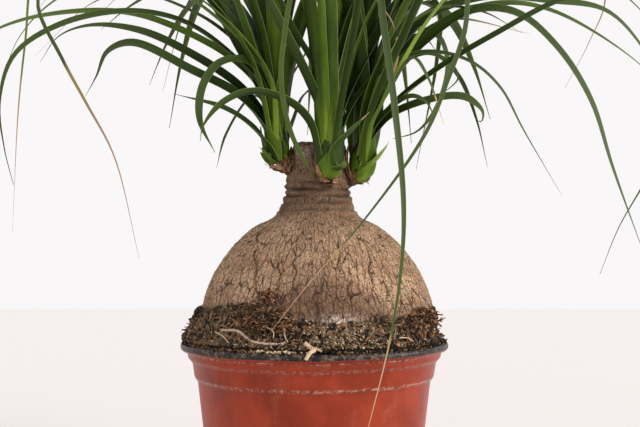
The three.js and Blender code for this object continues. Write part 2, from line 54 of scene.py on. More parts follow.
# Sizes shared with the CAD source
TRUNK_AXIS = (2.5, 0)
NECK_RINGS = (237, 243.5, 247.5, 255)
NECK_SHIFT = (0.8, 5)
TRUNK_TOP = 286
LEAF_SEED = 7
LEAF_START = 7
WIDE_SPREAD = 45

# Leaf heads: where each one sits, its lean in degrees and the size of its stem, then the root, rise and
# size of the bark branch that carries it, and the height over its seat of that branch's lip
HEADS = {
    "left": {"seat": (-24.5, -3, 269.5), "azimuth": 180, "tilt": 9, "radius": 6.8,
             "root": (-9, -1, 250), "rise": 12, "collar": 5.9, "lip": 2.4},
    "centre": {"seat": (10.6, -24, 264), "azimuth": 0, "tilt": 3, "radius": 9,
               "root": (8, -9, 248), "rise": 10, "collar": 5.6, "lip": -3.5},
    "right": {"seat": (32, -4, 265), "azimuth": 0, "tilt": 16, "radius": 7.2,
              "root": (16, -2, 247), "rise": 17, "collar": 5.2, "lip": -3},
}

# Packed leaf bases of each head, as height over its seat and radius
FEET = {
    "left": [(1, 1), (2, 3), (5, 5.8), (9, 7.6), (14, 8.4), (28, 7.4), (48, 4.2), (60, 1)],
    "centre": [(-5.2, 1), (-4.6, 3.2), (-3, 5.6), (0, 7.4), (5, 8.4), (12, 9), (28, 8.2), (48, 5), (60, 1)],
    "right": [(-7.6, 1), (-6.8, 3.6), (-3.6, 5.8), (1, 7.2), (9, 8.6), (28, 7.8), (48, 4.6), (60, 1)],
}

# Leaves that the photo shows: width, roll in degrees, lightness of the green, share of the tip that
# is dry, and points along the leaf
SHOWN_LEAVES = {
    "left": [
        (9, -40, 0.12, 0.06, [(-34, -12, 286), (-46, -20, 299), (-63, -30, 309), (-96, -38, 318)]),
        (10, -45, 0.15, 0.08, [(-35, -5, 297), (-52, -8, 318), (-87, -13, 337), (-127, -18, 355),
         (-144, -18, 349), (-152, -17, 332), (-160, -16, 318)]),
        (8.5, -45, 0.2, 0.1, [(-34, 2, 301), (-53, 5, 326), (-89, 11, 351), (-126, 15, 368),
         (-162, 16, 372), (-185, 17, 364), (-198, 17, 346)]),
        (8, -40, 0.6, 0.1, [(-37, 3, 321), (-56, 10, 344), (-90, 22, 366), (-135, 33, 383),
         (-188, 39, 384), (-233, 44, 374), (-267, 46, 352), (-287, 46, 317)]),
        (7, -40, 0.3, 0.06, [(-37, -4, 324), (-62, -14, 351), (-92, -31, 369), (-128, -47, 373),
         (-170, -60, 362), (-198, -69, 341), (-207, -72, 311), (-204, -72, 279), (-198, -72, 255)]),
        (7, -20, 0.45, 0.42, [(-43, -22, 341), (-74, -44, 385), (-123, -60, 414), (-167, -68, 409),
         (-182, -70, 377), (-166, -71, 339), (-150, -70, 309), (-132, -68, 274), (-116, -64, 206)]),
        (8, -20, 0.62, 0.3, [(-38, 20, 340), (-70, 60, 397), (-129, 104, 456), (-191, 134, 466),
         (-228, 148, 435), (-237, 152, 378), (-243, 152, 321), (-247, 148, 221)]),
        (14, -10, 0.6, 0.1, [(-31, -8, 306), (-43, -14, 347), (-54, -22, 381), (-70, -33, 416),
         (-96, -46, 443), (-131, -56, 446), (-162, -62, 425), (-177, -64, 391)]),
        (13, -20, 0.3, 0.1, [(-34, 2, 310), (-49, 6, 344), (-76, 18, 392), (-104, 28, 421),
         (-143, 38, 434), (-184, 44, 412), (-212, 47, 380)]),
        (13, 0, 0.35, 0.1, [(-31, 4, 310), (-37, 8, 353), (-38, 12, 390), (-45, 19, 439),
         (-63, 30, 479), (-100, 44, 500), (-140, 56, 493)]),
        (6, -20, 0.5, 0.05, [(-31, 6, 303), (-38, 16, 320), (-47, 24, 320), (-65, 32, 293),
         (-72, 34, 269)]),
        (6.5, -60, 0.3, 0.05, [(-28, -11, 312), (-36, -18, 333), (-49, -24, 343), (-65, -30, 340),
         (-76, -35, 324), (-78, -36, 300), (-68, -34, 278)]),
        (8, -30, 0.25, 0.05, [(-19, 6, 289), (-14, 10, 305), (-7, 16, 322), (6, 26, 329),
         (22, 37, 321)]),
        (6, -30, 0.2, 0.05, [(-21, 2, 310), (-19, 6, 327), (-11, 10, 343), (8, 16, 371),
         (28, 18, 388)]),
        (12, 0, 0.3, 0.05, [(-27, 14, 311), (-34, 22, 355), (-47, 31, 388), (-76, 44, 429),
         (-120, 62, 452), (-166, 78, 447)]),
        (11, 0, 0.62, 0.08, [(-24, 10, 318), (-23, 20, 358), (-29, 30, 389), (-45, 48, 437),
         (-83, 72, 481), (-128, 96, 496)]),
        (5, -20, 0.5, 0.3, [(-38, 24, 339), (-65, 38, 369), (-92, 46, 387), (-135, 56, 402),
         (-168, 62, 395), (-212, 68, 356)]),
        (6, -30, 0.6, 0.1, [(-32, -14, 327), (-48, -18, 353), (-86, -28, 385), (-132, -39, 401),
         (-177, -48, 379), (-199, -52, 354), (-209, -54, 328)]),
        (7, -30, 0.7, 0.1, [(-30, -22, 329), (-49, -32, 358), (-77, -46, 382), (-116, -64, 406),
         (-159, -80, 401)]),
        (7, -10, 0.45, 0.2, [(-31, 20, 326), (-39, 46, 374), (-57, 74, 419), (-81, 94, 424),
         (-101, 106, 398), (-109, 109, 375), (-120, 110, 332)]),
        (5, -30, 0.3, 0.3, [(-33, -12, 278), (-39, -16, 283)]),
    ],
    "centre": [
        (7, 40, 0.15, 0.06, [(2, -30, 281), (-3, -34, 299), (-16, -39, 312), (-42, -44, 319),
         (-62, -46, 311), (-75, -47, 295), (-77, -46, 285)]),
        (6, 0, 0.6, 0.06, [(8, -36, 307), (6, -46, 354), (3, -54, 396), (-4, -62, 420), (-11, -68, 397),
         (-18, -72, 360), (-21, -72, 324), (-15, -69, 291), (0, -62, 260)]),
        (5, 0, 0.2, 0.2, [(18, -40, 307), (26, -66, 351), (33, -92, 388), (40, -106, 387),
         (44, -118, 354), (50, -125, 307), (56, -127, 244), (55, -126, 206), (48, -124, 158),
         (33, -120, 96)]),
        (5.5, 40, 0.2, 0.1, [(19, -26, 292), (31, -22, 318), (58, -14, 343), (82, -8, 350),
         (111, -1, 344), (133, 4, 326), (150, 7, 296), (178, 10, 249)]),
        (6, 0, 0.15, 0.2, [(14, -36, 279), (23, -40, 290), (38, -45, 305)]),
        (14, 0, 0.4, 0.1, [(4, -30, 287), (2, -34, 328), (-2, -38, 368), (-11, -46, 413),
         (-32, -60, 451), (-65, -78, 464), (-97, -94, 450)]),
        (14, 0, 0.45, 0.1, [(11, -34, 293), (10, -40, 341), (9, -48, 387), (4, -60, 436),
         (-11, -80, 470), (-38, -104, 478)]),
        (13, 10, 0.35, 0.1, [(15, -30, 294), (20, -32, 328), (33, -37, 382), (55, -44, 430),
         (92, -52, 460), (138, -58, 462), (174, -62, 440)]),
        (12, 20, 0.2, 0.1, [(18, -22, 298), (27, -18, 324), (55, -6, 378), (90, 6, 419), (138, 18, 440),
         (187, 28, 435), (224, 34, 406)]),
        (9, 20, 0.2, 0.1, [(6, -30, 301), (-3, -34, 326), (-20, -42, 360), (-40, -49, 394),
         (-68, -56, 414)]),
        (9, 20, 0.3, 0.1, [(8, -24, 304), (2, -24, 334), (-16, -28, 366), (-33, -35, 402),
         (-56, -42, 425)]),
        (7, 0, 0.2, 0.1, [(20, -36, 268), (21, -38, 273)]),
        (12, 0, 0.25, 0.1, [(14, -24, 301), (19, -20, 343), (27, -14, 387), (44, -4, 441),
         (76, 10, 480), (121, 24, 495)]),
    ],
    "right": [
        (7, 40, 0.3, 0.1, [(38, -6, 289), (54, -9, 311), (88, -14, 338), (130, -19, 363),
         (171, -24, 384), (212, -28, 393), (247, -31, 382), (271, -32, 350)]),
        (12, 40, 0.32, 0.06, [(37, -2, 292), (50, 0, 322), (79, 4, 358), (112, 8, 381), (145, 11, 380),
         (175, 15, 356), (200, 18, 318), (216, 20, 271), (244, 21, 195)]),
        (12, 40, 0.35, 0.1, [(34, 6, 296), (47, 12, 331), (77, 22, 375), (122, 32, 394), (174, 40, 393),
         (217, 47, 387), (243, 50, 363), (262, 52, 327), (268, 52, 291)]),
        (7, 40, 0.55, 0.1, [(39, 10, 300), (55, 21, 337), (93, 37, 376), (139, 50, 393), (181, 59, 388),
         (248, 72, 350), (273, 74, 321)]),
        (8, 50, 0.12, 0.1, [(38, -14, 288), (50, -21, 306), (67, -28, 317), (77, -33, 313),
         (83, -35, 302)]),
        (8, 50, 0.2, 0.1, [(40, -10, 284), (52, -16, 303), (81, -26, 315), (104, -32, 316),
         (116, -34, 306), (115, -34, 299), (111, -34, 301)]),
        (7, 40, 0.15, 0.05, [(41, 4, 304), (58, 8, 340), (81, 8, 351), (98, 6, 343), (103, 5, 333),
         (90, 5, 320)]),
        (7, 40, 0.2, 0.05, [(39, 12, 305), (51, 16, 336), (71, 21, 362), (89, 24, 366), (97, 26, 347),
         (90, 24, 316), (75, 21, 296), (57, 18, 290)]),
        (6, 20, 0.35, 0.2, [(40, -24, 297), (54, -36, 324), (67, -45, 342), (77, -50, 328),
         (88, -50, 296)]),
        (7, 0, 0.55, 0.2, [(41, 30, 312), (65, 60, 367), (84, 80, 406), (96, 90, 395), (95, 94, 356),
         (79, 93, 270)]),
        (7, 0, 0.3, 0.23, [(40, -30, 304), (58, -58, 349), (79, -84, 389), (95, -97, 389),
         (97, -103, 358), (85, -106, 321), (71, -107, 287), (33, -107, 233), (-4, -106, 190),
         (-27, -105, 161)]),
        (13, 20, 0.95, 0.1, [(39, -16, 298), (52, -28, 322), (80, -38, 370), (113, -46, 404),
         (157, -58, 421), (198, -66, 410), (229, -70, 381)]),
        (12, 20, 0.85, 0.1, [(38, -6, 302), (49, -2, 337), (78, -5, 390), (115, -13, 432),
         (165, -16, 454), (217, -18, 448), (253, -18, 420)]),
        (13, 0, 0.25, 0.1, [(33, 2, 296), (39, 6, 332), (52, 11, 382), (77, 20, 437), (119, 32, 478),
         (172, 44, 493), (217, 52, 477)]),
        (13, 0, 0.45, 0.1, [(30, 8, 296), (32, 18, 340), (41, 32, 400), (63, 54, 465), (101, 80, 509),
         (149, 104, 526)]),
        (4, 20, 0.5, 0.62, [(40, -26, 297), (48, -35, 314), (57, -43, 342), (54, -47, 364),
         (41, -50, 383)]),
        (9, 20, 0.7, 0.05, [(40, -9, 270), (46, -14, 276), (53, -18, 287)]),
        (6, 0, 0.65, 0.3, [(45, 40, 324), (86, 90, 386), (150, 138, 438), (211, 170, 455),
         (244, 183, 419), (232, 186, 382), (211, 186, 342)]),
        (8, 20, 0.35, 0.1, [(36, -20, 308), (58, -50, 360), (102, -86, 407), (156, -112, 416),
         (199, -130, 384), (216, -139, 324), (208, -143, 269), (186, -143, 227), (175, -142, 199)]),
        (5, 30, 0.6, 0.3, [(43, 16, 318), (69, 34, 359), (101, 44, 380), (161, 54, 371)]),
        (8, 30, 0.3, 0.1, [(38, 30, 316), (65, 60, 382), (120, 88, 437), (194, 108, 436),
         (251, 118, 406), (301, 125, 346)]),
    ],
}

# Green scales that clasp the foot of each head: direction in degrees, half the angle that they go
# round, heights of the base, shoulder and tip over the head's seat, flare, and lightness
BRACTS = {
    "left": [(-95, 75, 1, 14, 38, 0.4, 0.72), (170, 70, 2, 12, 30, 1.2, 0.72),
             (0, 70, 0, 18, 44, 0.4, 0.3), (-150, 36, 2, 6, 15, 2.2, 0.65), (-170, 22, 2, 4, 12, 3, 0.7)],
    "centre": [(-20, 60, -4, 20, 48, 0.4, 0.25), (-150, 60, -4, 24, 52, 0.4, 0.4),
               (90, 90, -4, 14, 36, 0.4, 0.3), (-97, 80, -5, 4, 15, 0.7, 0.62)],
    "right": [(-80, 70, -6, 14, 36, 0.5, 0.6), (-150, 55, -5, 18, 44, 0.5, 0.15),
              (100, 90, -4, 14, 36, 0.4, 0.3), (-45, 62, -7.5, 2, 15, 1.6, 0.7)],
}

# Leaves on the far side of each head: how many, and the directions that they spread over
BACK_LEAVES = {"left": (5, 88, 135), "centre": (4, 80, 96), "right": (5, 50, 92)}

# Upright leaves in the middle of each head
YOUNG_LEAVES = {"left": 9, "centre": 6, "right": 10}


def smooth(x):
    t = np.clip(x, 0, 1)
    return t * t * (3 - 2 * t)


def eased(first, last, share):
    """From first to last as the share goes from 0 to 1, slowly at both ends."""
    return first + (last - first) * smooth(share)


def bell(x, middle, spread):
    """1 at middle, and soon 0 beyond spread on either side."""
    return np.exp(-(((x - middle) / spread) ** 2))


def unit(v):
    return v / np.linalg.norm(v)


def seeded(seed):
    """The CAD source's repeatable random numbers."""
    word = 0xFFFFFFFF
    state = seed & word

    def draw():
        nonlocal state
        state = (state + 0x6D2B79F5) & word
        t = ((state ^ (state >> 15)) * (state | 1)) & word
        t = ((t + (t ^ (t >> 7)) * (t | 61)) ^ t) & word
        return (t ^ (t >> 14)) / 4294967296

    return draw


def blend(a, b, start, end, t):
    """From a at start to b at end."""
    return (end - t) / (end - start) * a + (t - start) / (end - start) * b


def curve_through(points, count):
    """Places evenly spaced along a centripetal curve through the points, and its length."""
    p = [np.array(q, float) for q in points]
    p = [2 * p[0] - p[1]] + p + [2 * p[-1] - p[-2]]
    dense = []
    for a, b, c, d in zip(p, p[1:], p[2:], p[3:]):
        ta = 0
        tb = ta + math.sqrt(np.linalg.norm(b - a))
        tc = tb + math.sqrt(np.linalg.norm(c - b))
        td = tc + math.sqrt(np.linalg.norm(d - c))
        t = np.linspace(tb, tc, STEPS_A_STRETCH, endpoint=False)[:, None]
        ab, bc, cd = blend(a, b, ta, tb, t), blend(b, c, tb, tc, t), blend(c, d, tc, td, t)
        abc, bcd = blend(ab, bc, ta, tc, t), blend(bc, cd, tb, td, t)
        dense.append(blend(abc, bcd, tb, tc, t))
    dense = np.vstack([*dense, p[-2][None]])
    reach = np.concatenate([[0], np.cumsum(np.linalg.norm(np.diff(dense, axis=0), axis=1))])
    wanted = np.linspace(0, reach[-1], count)
    return np.stack([np.interp(wanted, reach, dense[:, k]) for k in range(3)], 1), reach[-1]


def grid_faces(rows, columns):
    """Quads between closed rows of points."""
    i, k = np.mgrid[0:rows - 1, 0:columns]
    a = i * columns + k
    b = i * columns + (k + 1) % columns
    return np.stack([a, b, b + columns, a + columns], -1).reshape(-1, 4).tolist()


def tube_faces(rows, columns):
    """Quads between closed rows of points, and a face over each end."""
    ends = [list(range(columns))[::-1], [(rows - 1) * columns + k for k in range(columns)]]
    return grid_faces(rows, columns) + ends


def turns(count):
    """Angles evenly spaced round a circle."""
    return np.linspace(0, 2 * math.pi, count, endpoint=False)


def around(radius, angle, height, middle=(0, 0)):
    """Places at a radius, an angle and a height round an upright axis through middle."""
    x = middle[0] + radius * np.cos(angle)
    y = middle[1] + radius * np.sin(angle)
    return np.stack(np.broadcast_arrays(x, y, height), -1)


def swept(line, side):
    """Along a line: each place, the direction ahead and two directions square to it."""
    ahead = np.gradient(line, axis=0)
    ahead /= np.linalg.norm(ahead, axis=1)[:, None]
    for place, along in zip(line, ahead):
        side = unit(side - along * np.dot(side, along))
        yield place, along, side, np.cross(along, side)


def place_in_scene(name, data, place=(0, 0, 0)):
    thing = bpy.data.objects.new(name, data)
    thing.location = Vector(place) * MM
    bpy.context.scene.collection.objects.link(thing)
    return thing


def at_points(values, count):
    """The values as one number or one vector for each of count points."""
    if np.ndim(values) == 0:
        return np.full(count, values, float)
    return np.reshape(values, (count, -1)).squeeze()


def make_piece(name, points, faces, materials, slot, replaces=(), material_index=None, **fields):
    """A shown piece of the plant, with its fields stored at its points for the material to read."""
    points = np.reshape(points, (-1, 3)) * MM
    mesh = bpy.data.meshes.new(name)
    mesh.from_pydata(points.tolist(), [], faces)
    for material in materials:
        mesh.materials.append(material)
    if material_index is not None:
        mesh.polygons.foreach_set("material_index", material_index)
    for field, values in fields.items():
        values = at_points(values, len(points)).astype(np.float32)
        kind, key = ("FLOAT", "value") if values.ndim == 1 else ("FLOAT_VECTOR", "vector")
        mesh.attributes.new(field, kind, "POINT").data.foreach_set(key, values.ravel())
    mesh.polygons.foreach_set("use_smooth", [True] * len(mesh.polygons))
    mesh.validate()
    piece = place_in_scene(name, mesh)
    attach(piece, "root")
    for node in replaces:
        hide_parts(node)


class Heap:
    """Many small shapes gathered into one mesh, with values at their points for the material."""

    def __init__(self):
        self.points = []
        self.faces = []
        self.fields = {}
        self.count = 0

    def add(self, points, faces, **fields):
        points = np.reshape(points, (-1, 3))
        self.faces += [[self.count + i for i in face] for face in faces]
        self.points.append(points)
        self.count += len(points)
        for key, values in fields.items():
            self.fields.setdefault(key, []).append(at_points(values, len(points)))

    def make(self, name, material, slot, replaces=()):
        fields = {key: np.concatenate(values) for key, values in self.fields.items()}
        make_piece(name, np.vstack(self.points), self.faces, [material], slot, replaces, **fields)


class Shader:
    """A material whose nodes are written as formulas."""

    def __init__(self, name, roughness, specular=0.5):
        self.material = bpy.data.materials.new(name)
        self.material.use_nodes = True
        self.tree = self.material.node_tree
        self.surface = self.tree.nodes["Principled BSDF"]
        self.surface.inputs["Roughness"].default_value = roughness
        self.surface.inputs["Specular IOR Level"].default_value = specular

    def node(self, kind, inputs=None, **settings):
        made = self.tree.nodes.new(kind)
        for key, value in settings.items():
            setattr(made, key, value)
        for key, value in (inputs or {}).items():
            if isinstance(value, bpy.types.NodeSocket):
                self.tree.links.new(value, made.inputs[key])
            else:
                made.inputs[key].default_value = value
        return made

    def field(self, name, output="Fac"):
        return self.node("ShaderNodeAttribute", attribute_name=name).outputs[output]

    def place(self):
        """The point's place in the part, in millimetres."""
        coordinates = self.node("ShaderNodeTexCoord").outputs["Object"]
        return self.stretch(coordinates, (1 / MM, 1 / MM, 1 / MM))

    def stretch(self, vector, scale):
        node = self.node("ShaderNodeVectorMath", {0: vector, 1: scale}, operation="MULTIPLY")
        return node.outputs[0]

    def math(self, operation, a, b=0.0):
        return self.node("ShaderNodeMath", {0: a, 1: b}, operation=operation).outputs[0]

    def times(self, a, b):
        return self.math("MULTIPLY", a, b)

    def noise(self, vector, size, detail=3, roughness=0.55, distortion=0.0):
        """Soft noise from 0 to 1 whose lumps are about size long."""
        values = {"Vector": vector, "Scale": 1 / size, "Detail": detail, "Roughness": roughness,
                  "Distortion": distortion}
        return self.node("ShaderNodeTexNoise", values).outputs["Fac"]

    def plate_edges(self, sheet, size):
        """Distance from the edges of the plates that a flat sheet breaks into, as a share of size."""
        values = {"Vector": sheet, "Scale": 1 / size}
        settings = {"feature": "DISTANCE_TO_EDGE", "voronoi_dimensions": "2D"}
        return self.node("ShaderNodeTexVoronoi", values, **settings).outputs["Distance"]

    def warped(self, vector, size, reach):
        """The vector moved by soft noise of up to about half of reach."""
        noise = self.node("ShaderNodeTexNoise", {"Vector": vector, "Scale": 1 / size}).outputs["Color"]
        centred = self.node("ShaderNodeVectorMath", {0: noise, 1: (0.5, 0.5, 0.5)}, operation="SUBTRACT")
        moved = self.stretch(centred.outputs[0], (reach, reach, reach))
        return self.node("ShaderNodeVectorMath", {0: vector, 1: moved}, operation="ADD").outputs[0]

    def band(self, value, low, high, out_low=0.0, out_high=1.0):
        """A smooth step of value between low and high."""
        values = {"Value": value, "From Min": low, "From Max": high, "To Min": out_low, "To Max": out_high}
        return self.node("ShaderNodeMapRange", values, interpolation_type="SMOOTHSTEP").outputs[0]

    def mix(self, share, a, b):
        values = {0: share, 6: a, 7: b}
        for key in (6, 7):
            if isinstance(values[key], tuple):
                values[key] = (*values[key], 1)
        return self.node("ShaderNodeMix", values, data_type="RGBA").outputs[2]

    def bump(self, height, distance, normal=None):
        """Relief from a height of 0 to 1 that stands distance millimetres high."""
        values = {"Height": height, "Strength": 1.0, "Distance": distance * MM}
        if normal is not None:
            values["Normal"] = normal
        return self.node("ShaderNodeBump", values).outputs["Normal"]

    def finish(self, colour, normal=None, roughness=None):
        links = {"Base Color": colour, "Normal": normal, "Roughness": roughness}
        for key, value in links.items():
            if value is not None:
                self.tree.links.new(value, self.surface.inputs[key])
        return self.material


# Materials


def terracotta_material():
    """Thin terracotta-coloured plastic, scuffed chalky, with mineral dirt caught on the ledges."""
    s = Shader("terracotta_plastic", 0.42, 0.2)
    place = s.place()
    blotches = s.noise(place, 38, 4, 0.6)
    smears = s.noise(s.stretch(place, (1, 1, 0.35)), 16, 5, 0.65, 0.6)
    specks = s.noise(place, 2.2, 4, 0.7)
    colour = s.mix(s.band(blotches, 0.35, 0.68), (0.175, 0.02, 0.006), (0.27, 0.033, 0.011))
    chalk = s.times(s.band(smears, 0.52, 0.78), s.band(specks, 0.35, 0.7, 0.1, 1))
    colour = s.mix(s.times(chalk, 0.3), colour, (0.4, 0.17, 0.12))
    caught = s.times(s.field("grime"), s.band(s.noise(place, 2.4, 5, 0.75), 0.46, 0.6))
    colour = s.mix(s.times(caught, 0.85), colour, (0.55, 0.4, 0.3))
    soiled = s.times(s.field("grime"), s.band(s.noise(place, 9, 4, 0.7), 0.5, 0.62))
    colour = s.mix(s.times(soiled, 0.6), colour, (0.1, 0.045, 0.025))
    rough = s.math("ADD", s.times(chalk, 0.3), s.band(blotches, 0.3, 0.7, 0.3, 0.42))
    relief = s.bump(s.noise(place, 1.2, 3, 0.6), 0.05, s.bump(s.noise(place, 24, 2), 0.8))
    return s.finish(colour, relief, rough)


def black_plastic_material():
    """The black inner layer and rolled rim of the pot, dusty with dried soil."""
    s = Shader("black_plastic", 0.5, 0.25)
    place = s.place()
    dust = s.band(s.noise(place, 3, 5, 0.7), 0.46, 0.66)
    colour = s.mix(dust, (0.006, 0.005, 0.005), (0.13, 0.09, 0.065))
    return s.finish(colour, s.bump(s.noise(place, 1.1, 3), 0.08), s.band(dust, 0, 1, 0.38, 0.7))


def bark_material():
    """Corky bark: plates between dark cracks, scurfy grain, mineral bloom at the soil line."""
    s = Shader("corky_bark", 0.88, 0.25)
    place = s.place()
    grain_place = s.stretch(place, (1, 1, 0.45))
    grain = s.noise(grain_place, 1.0, 5, 0.75)
    blotch = s.noise(place, 17, 4, 0.6)
    sheet = s.warped(s.field("sheet", "Vector"), 4.5, 3.2)
    plates = s.plate_edges(s.stretch(sheet, (1, 0.6, 1)), 3.1)
    clefts = s.plate_edges(s.stretch(sheet, (1, 0.3, 1)), 5.2)
    fine = s.plate_edges(sheet, 1.7)
    broken = s.band(s.noise(place, 6, 3, 0.6), 0.38, 0.58, 0.25, 1)
    worn = s.band(s.noise(place, 8, 3, 0.6, 1), 0.35, 0.6, 0.25, 0.7)
    net = s.math("MAXIMUM", s.times(s.band(plates, 0.12, 0.02), worn),
                 s.times(s.band(clefts, 0.085, 0.02), broken))
    crack = s.math("MAXIMUM", s.field("crack"), net)
    colour = s.mix(s.band(blotch, 0.34, 0.66), (0.36, 0.21, 0.118), (0.5, 0.325, 0.195))
    colour = s.mix(s.band(grain, 0.5, 0.75, 0, 0.7), colour, (0.62, 0.48, 0.37))
    colour = s.mix(s.band(grain, 0.46, 0.28, 0, 0.8), colour, (0.1, 0.05, 0.028))
    colour = s.mix(s.band(fine, 0.12, 0.02, 0, 0.45), colour, (0.1, 0.052, 0.03))
    # Darker towards the soil, higher in front, and from the neck up
    colour = s.mix(s.field("damp"), colour, s.mix(0.74, colour, (0.085, 0.04, 0.022)))
    colour = s.mix(s.times(crack, 0.92), colour, (0.04, 0.02, 0.011))
    patchy = s.band(s.noise(place, 2.6, 5, 0.75), 0.46, 0.54)
    colour = s.mix(s.times(s.field("bloom"), patchy), colour, (0.62, 0.54, 0.48))
    height = s.math("SUBTRACT", s.times(grain, 0.7), s.times(crack, 0.9))
    relief = s.bump(height, 0.9, s.bump(s.band(fine, 0, 0.15), 0.3))
    return s.finish(colour, relief)


def leaf_material():
    """Strap leaf: fine parallel veins, pale margins, satin cuticle, dry tips."""
    s = Shader("leaf_blade", 0.5, 0.12)
    blade = s.field("blade", "Vector")
    veins = s.noise(s.stretch(blade, (1.6, 0.012, 1)), 1, 3, 0.6)
    mottle = s.noise(s.stretch(blade, (0.12, 0.03, 1)), 1, 3, 0.6)
    green = s.math("ADD", s.field("green"), s.band(mottle, 0.3, 0.7, -0.08, 0.08))
    green = s.math("ADD", green, s.band(veins, 0.35, 0.65, -0.035, 0.035))
    colour = s.mix(s.band(green, 0.0, 0.4), (0.011, 0.024, 0.003), (0.018, 0.036, 0.003))
    colour = s.mix(s.band(green, 0.35, 0.75), colour, (0.065, 0.115, 0.006))
    colour = s.mix(s.band(green, 0.7, 1.05), colour, (0.16, 0.24, 0.022))
    edge = s.math("ABSOLUTE", s.field("across"))
    colour = s.mix(s.band(s.field("along"), 0.2, 0.8, 0, 0.3), colour, (0.11, 0.155, 0.05))
    colour = s.mix(s.band(edge, 0.92, 0.98, 0, 0.6), colour, (0.22, 0.3, 0.09))
    dry = s.math("ADD", s.field("dry"), s.band(mottle, 0.3, 0.7, -0.12, 0.12))
    colour = s.mix(s.band(dry, 0.35, 0.6), colour, (0.29, 0.225, 0.09))
    colour = s.mix(s.band(dry, 0.75, 1.0), colour, (0.37, 0.24, 0.15))
    return s.finish(colour, s.bump(veins, 0.12), s.band(dry, 0.3, 0.7, 0.5, 0.75))


def husk_material():
    """Dry papery sheaths and scale leaves torn round the foot of each head."""
    s = Shader("dry_husk", 0.8, 0.3)
    place = s.place()
    streaks = s.noise(s.stretch(place, (1, 1, 0.2)), 0.9, 4, 0.6)
    colour = s.mix(s.band(s.field("tone"), 0, 1), (0.1, 0.035, 0.015), (0.36, 0.2, 0.1))
    colour = s.mix(s.band(streaks, 0.52, 0.7, 0, 0.6), colour, (0.5, 0.33, 0.2))
    colour = s.mix(s.band(streaks, 0.45, 0.3, 0, 0.8), colour, (0.08, 0.035, 0.02))
    return s.finish(colour, s.bump(streaks, 0.3))


def soil_material():
    """Dark moist potting mix between the coarser pieces."""
    s = Shader("potting_mix", 0.95, 0.2)
    place = s.place()
    lumps = s.noise(place, 2.4, 5, 0.7)
    colour = s.mix(s.band(lumps, 0.38, 0.62), (0.003, 0.0025, 0.002), (0.018, 0.012, 0.008))
    colour = s.mix(s.band(s.noise(place, 12, 3), 0.5, 0.68, 0, 0.7), colour, (0.02, 0.026, 0.014))
    return s.finish(colour, s.bump(lumps, 1.5))


def scatter_material(name, dark, light, fleck, grain_size):
    """Loose pieces on the soil: each has a tone of its own, with flecks and a rough surface."""
    s = Shader(name, 0.9, 0.25)
    grain = s.noise(s.place(), grain_size, 4, 0.65)
    colour = s.mix(s.band(s.field("tone"), 0, 1), dark, light)
    colour = s.mix(s.band(grain, 0.5, 0.72, 0, 0.6), colour, fleck)
    colour = s.mix(s.band(grain, 0.46, 0.3, 0, 0.6), colour, tuple(0.3 * c for c in dark))
    return s.finish(colour, s.bump(grain, 0.4))


# Pot

POT_OUTSIDE = [
    (0, 0), (34, 0), (36, 3), (58, 3), (60, 0), (67.5, 0), (68.4, 1), (82.6, 117.5), (85, 121),
    (86.5, 131), (89.6, 134.5), (90.4, 139), (93.6, 139.6), (95, 141.2), (95, 143.6), (93.8, 145),
]
POT_INSIDE = [
    (90, 145), (88.8, 143.4), (88.4, 135.4), (85.2, 131.8), (83.8, 121.8), (81.3, 118), (67.2, 1.2),
    (60.6, 1.2), (58.6, 4.2), (35.4, 4.2), (33.4, 1.2), (0, 1.2),
]
POT_SIDES = 192
POT_CORNER = 1.1
CORNER_POINTS = 4
LONGEST_RUN = 7

# Radius inside which the pot's floor stays round
FLOOR_RING = 40

# Height where the black of the rim starts, and over which the rim is level
RIM_BLACK_FROM = 140.8
RIM_FLAT_FROM = 143
RIM_TOP = 145.1

# Ledges that catch dirt: height and spread
GRIME_HEIGHTS = ((119.8, 0.9), (132.8, 0.8), (138.6, 0.45))


def rounded_profile(profile, radius):
    """The profile with each corner replaced by a small curve."""
    points = [np.array(p, float) for p in profile]
    out = [points[0]]
    for before, corner, after in zip(points, points[1:], points[2:]):
        cut = min(radius, 0.4 * np.linalg.norm(corner - before), 0.4 * np.linalg.norm(after - corner))
        a = corner + unit(before - corner) * cut
        b = corner + unit(after - corner) * cut
        for t in np.linspace(0, 1, CORNER_POINTS):
            out.append((1 - t) ** 2 * a + 2 * t * (1 - t) * corner + t * t * b)
    return np.array(out + [points[-1]])


def long_runs_split(profile, longest):
    """The profile with points added along its long straight runs."""
    out = [profile[0]]
    for a, b in zip(profile, profile[1:]):
        count = max(1, int(np.linalg.norm(b - a) // longest))
        out += [a + (b - a) * (i + 1) / count for i in range(count)]
    return np.array(out)


def make_pot():
    profile = long_runs_split(rounded_profile(POT_OUTSIDE + POT_INSIDE, POT_CORNER), LONGEST_RUN)
    turned_over = int(np.argmin(np.abs(profile - np.array(POT_INSIDE[0])).sum(1)))
    angle = turns(POT_SIDES)
    radius, height = profile[:, :1], profile[:, 1:]
    lift = smooth(height / 60)
    sway = 0.35 * np.sin(3 * angle + 0.9) + 0.22 * np.sin(7 * angle + height / 21)
    wave = 0.4 * np.sin(2 * angle + 2.1) + 0.2 * np.sin(9 * angle)
    out = radius + sway * lift * (radius > FLOOR_RING)
    points = around(out, angle, height + lift * wave * (height < RIM_FLAT_FROM))
    grime = sum(bell(height, z, spread) for z, spread in GRIME_HEIGHTS)
    faces = grid_faces(len(profile), POT_SIDES)
    black = [int(row >= turned_over or profile[row][1] > RIM_BLACK_FROM)
             for row in range(len(profile) - 1) for _ in angle]
    make_piece("plastic_pot", points, faces, [terracotta_material(), black_plastic_material()],
               "pot_plastic", ["pot"], black, grime=np.clip(grime, 0, 1) * np.ones_like(angle))


# Trunk

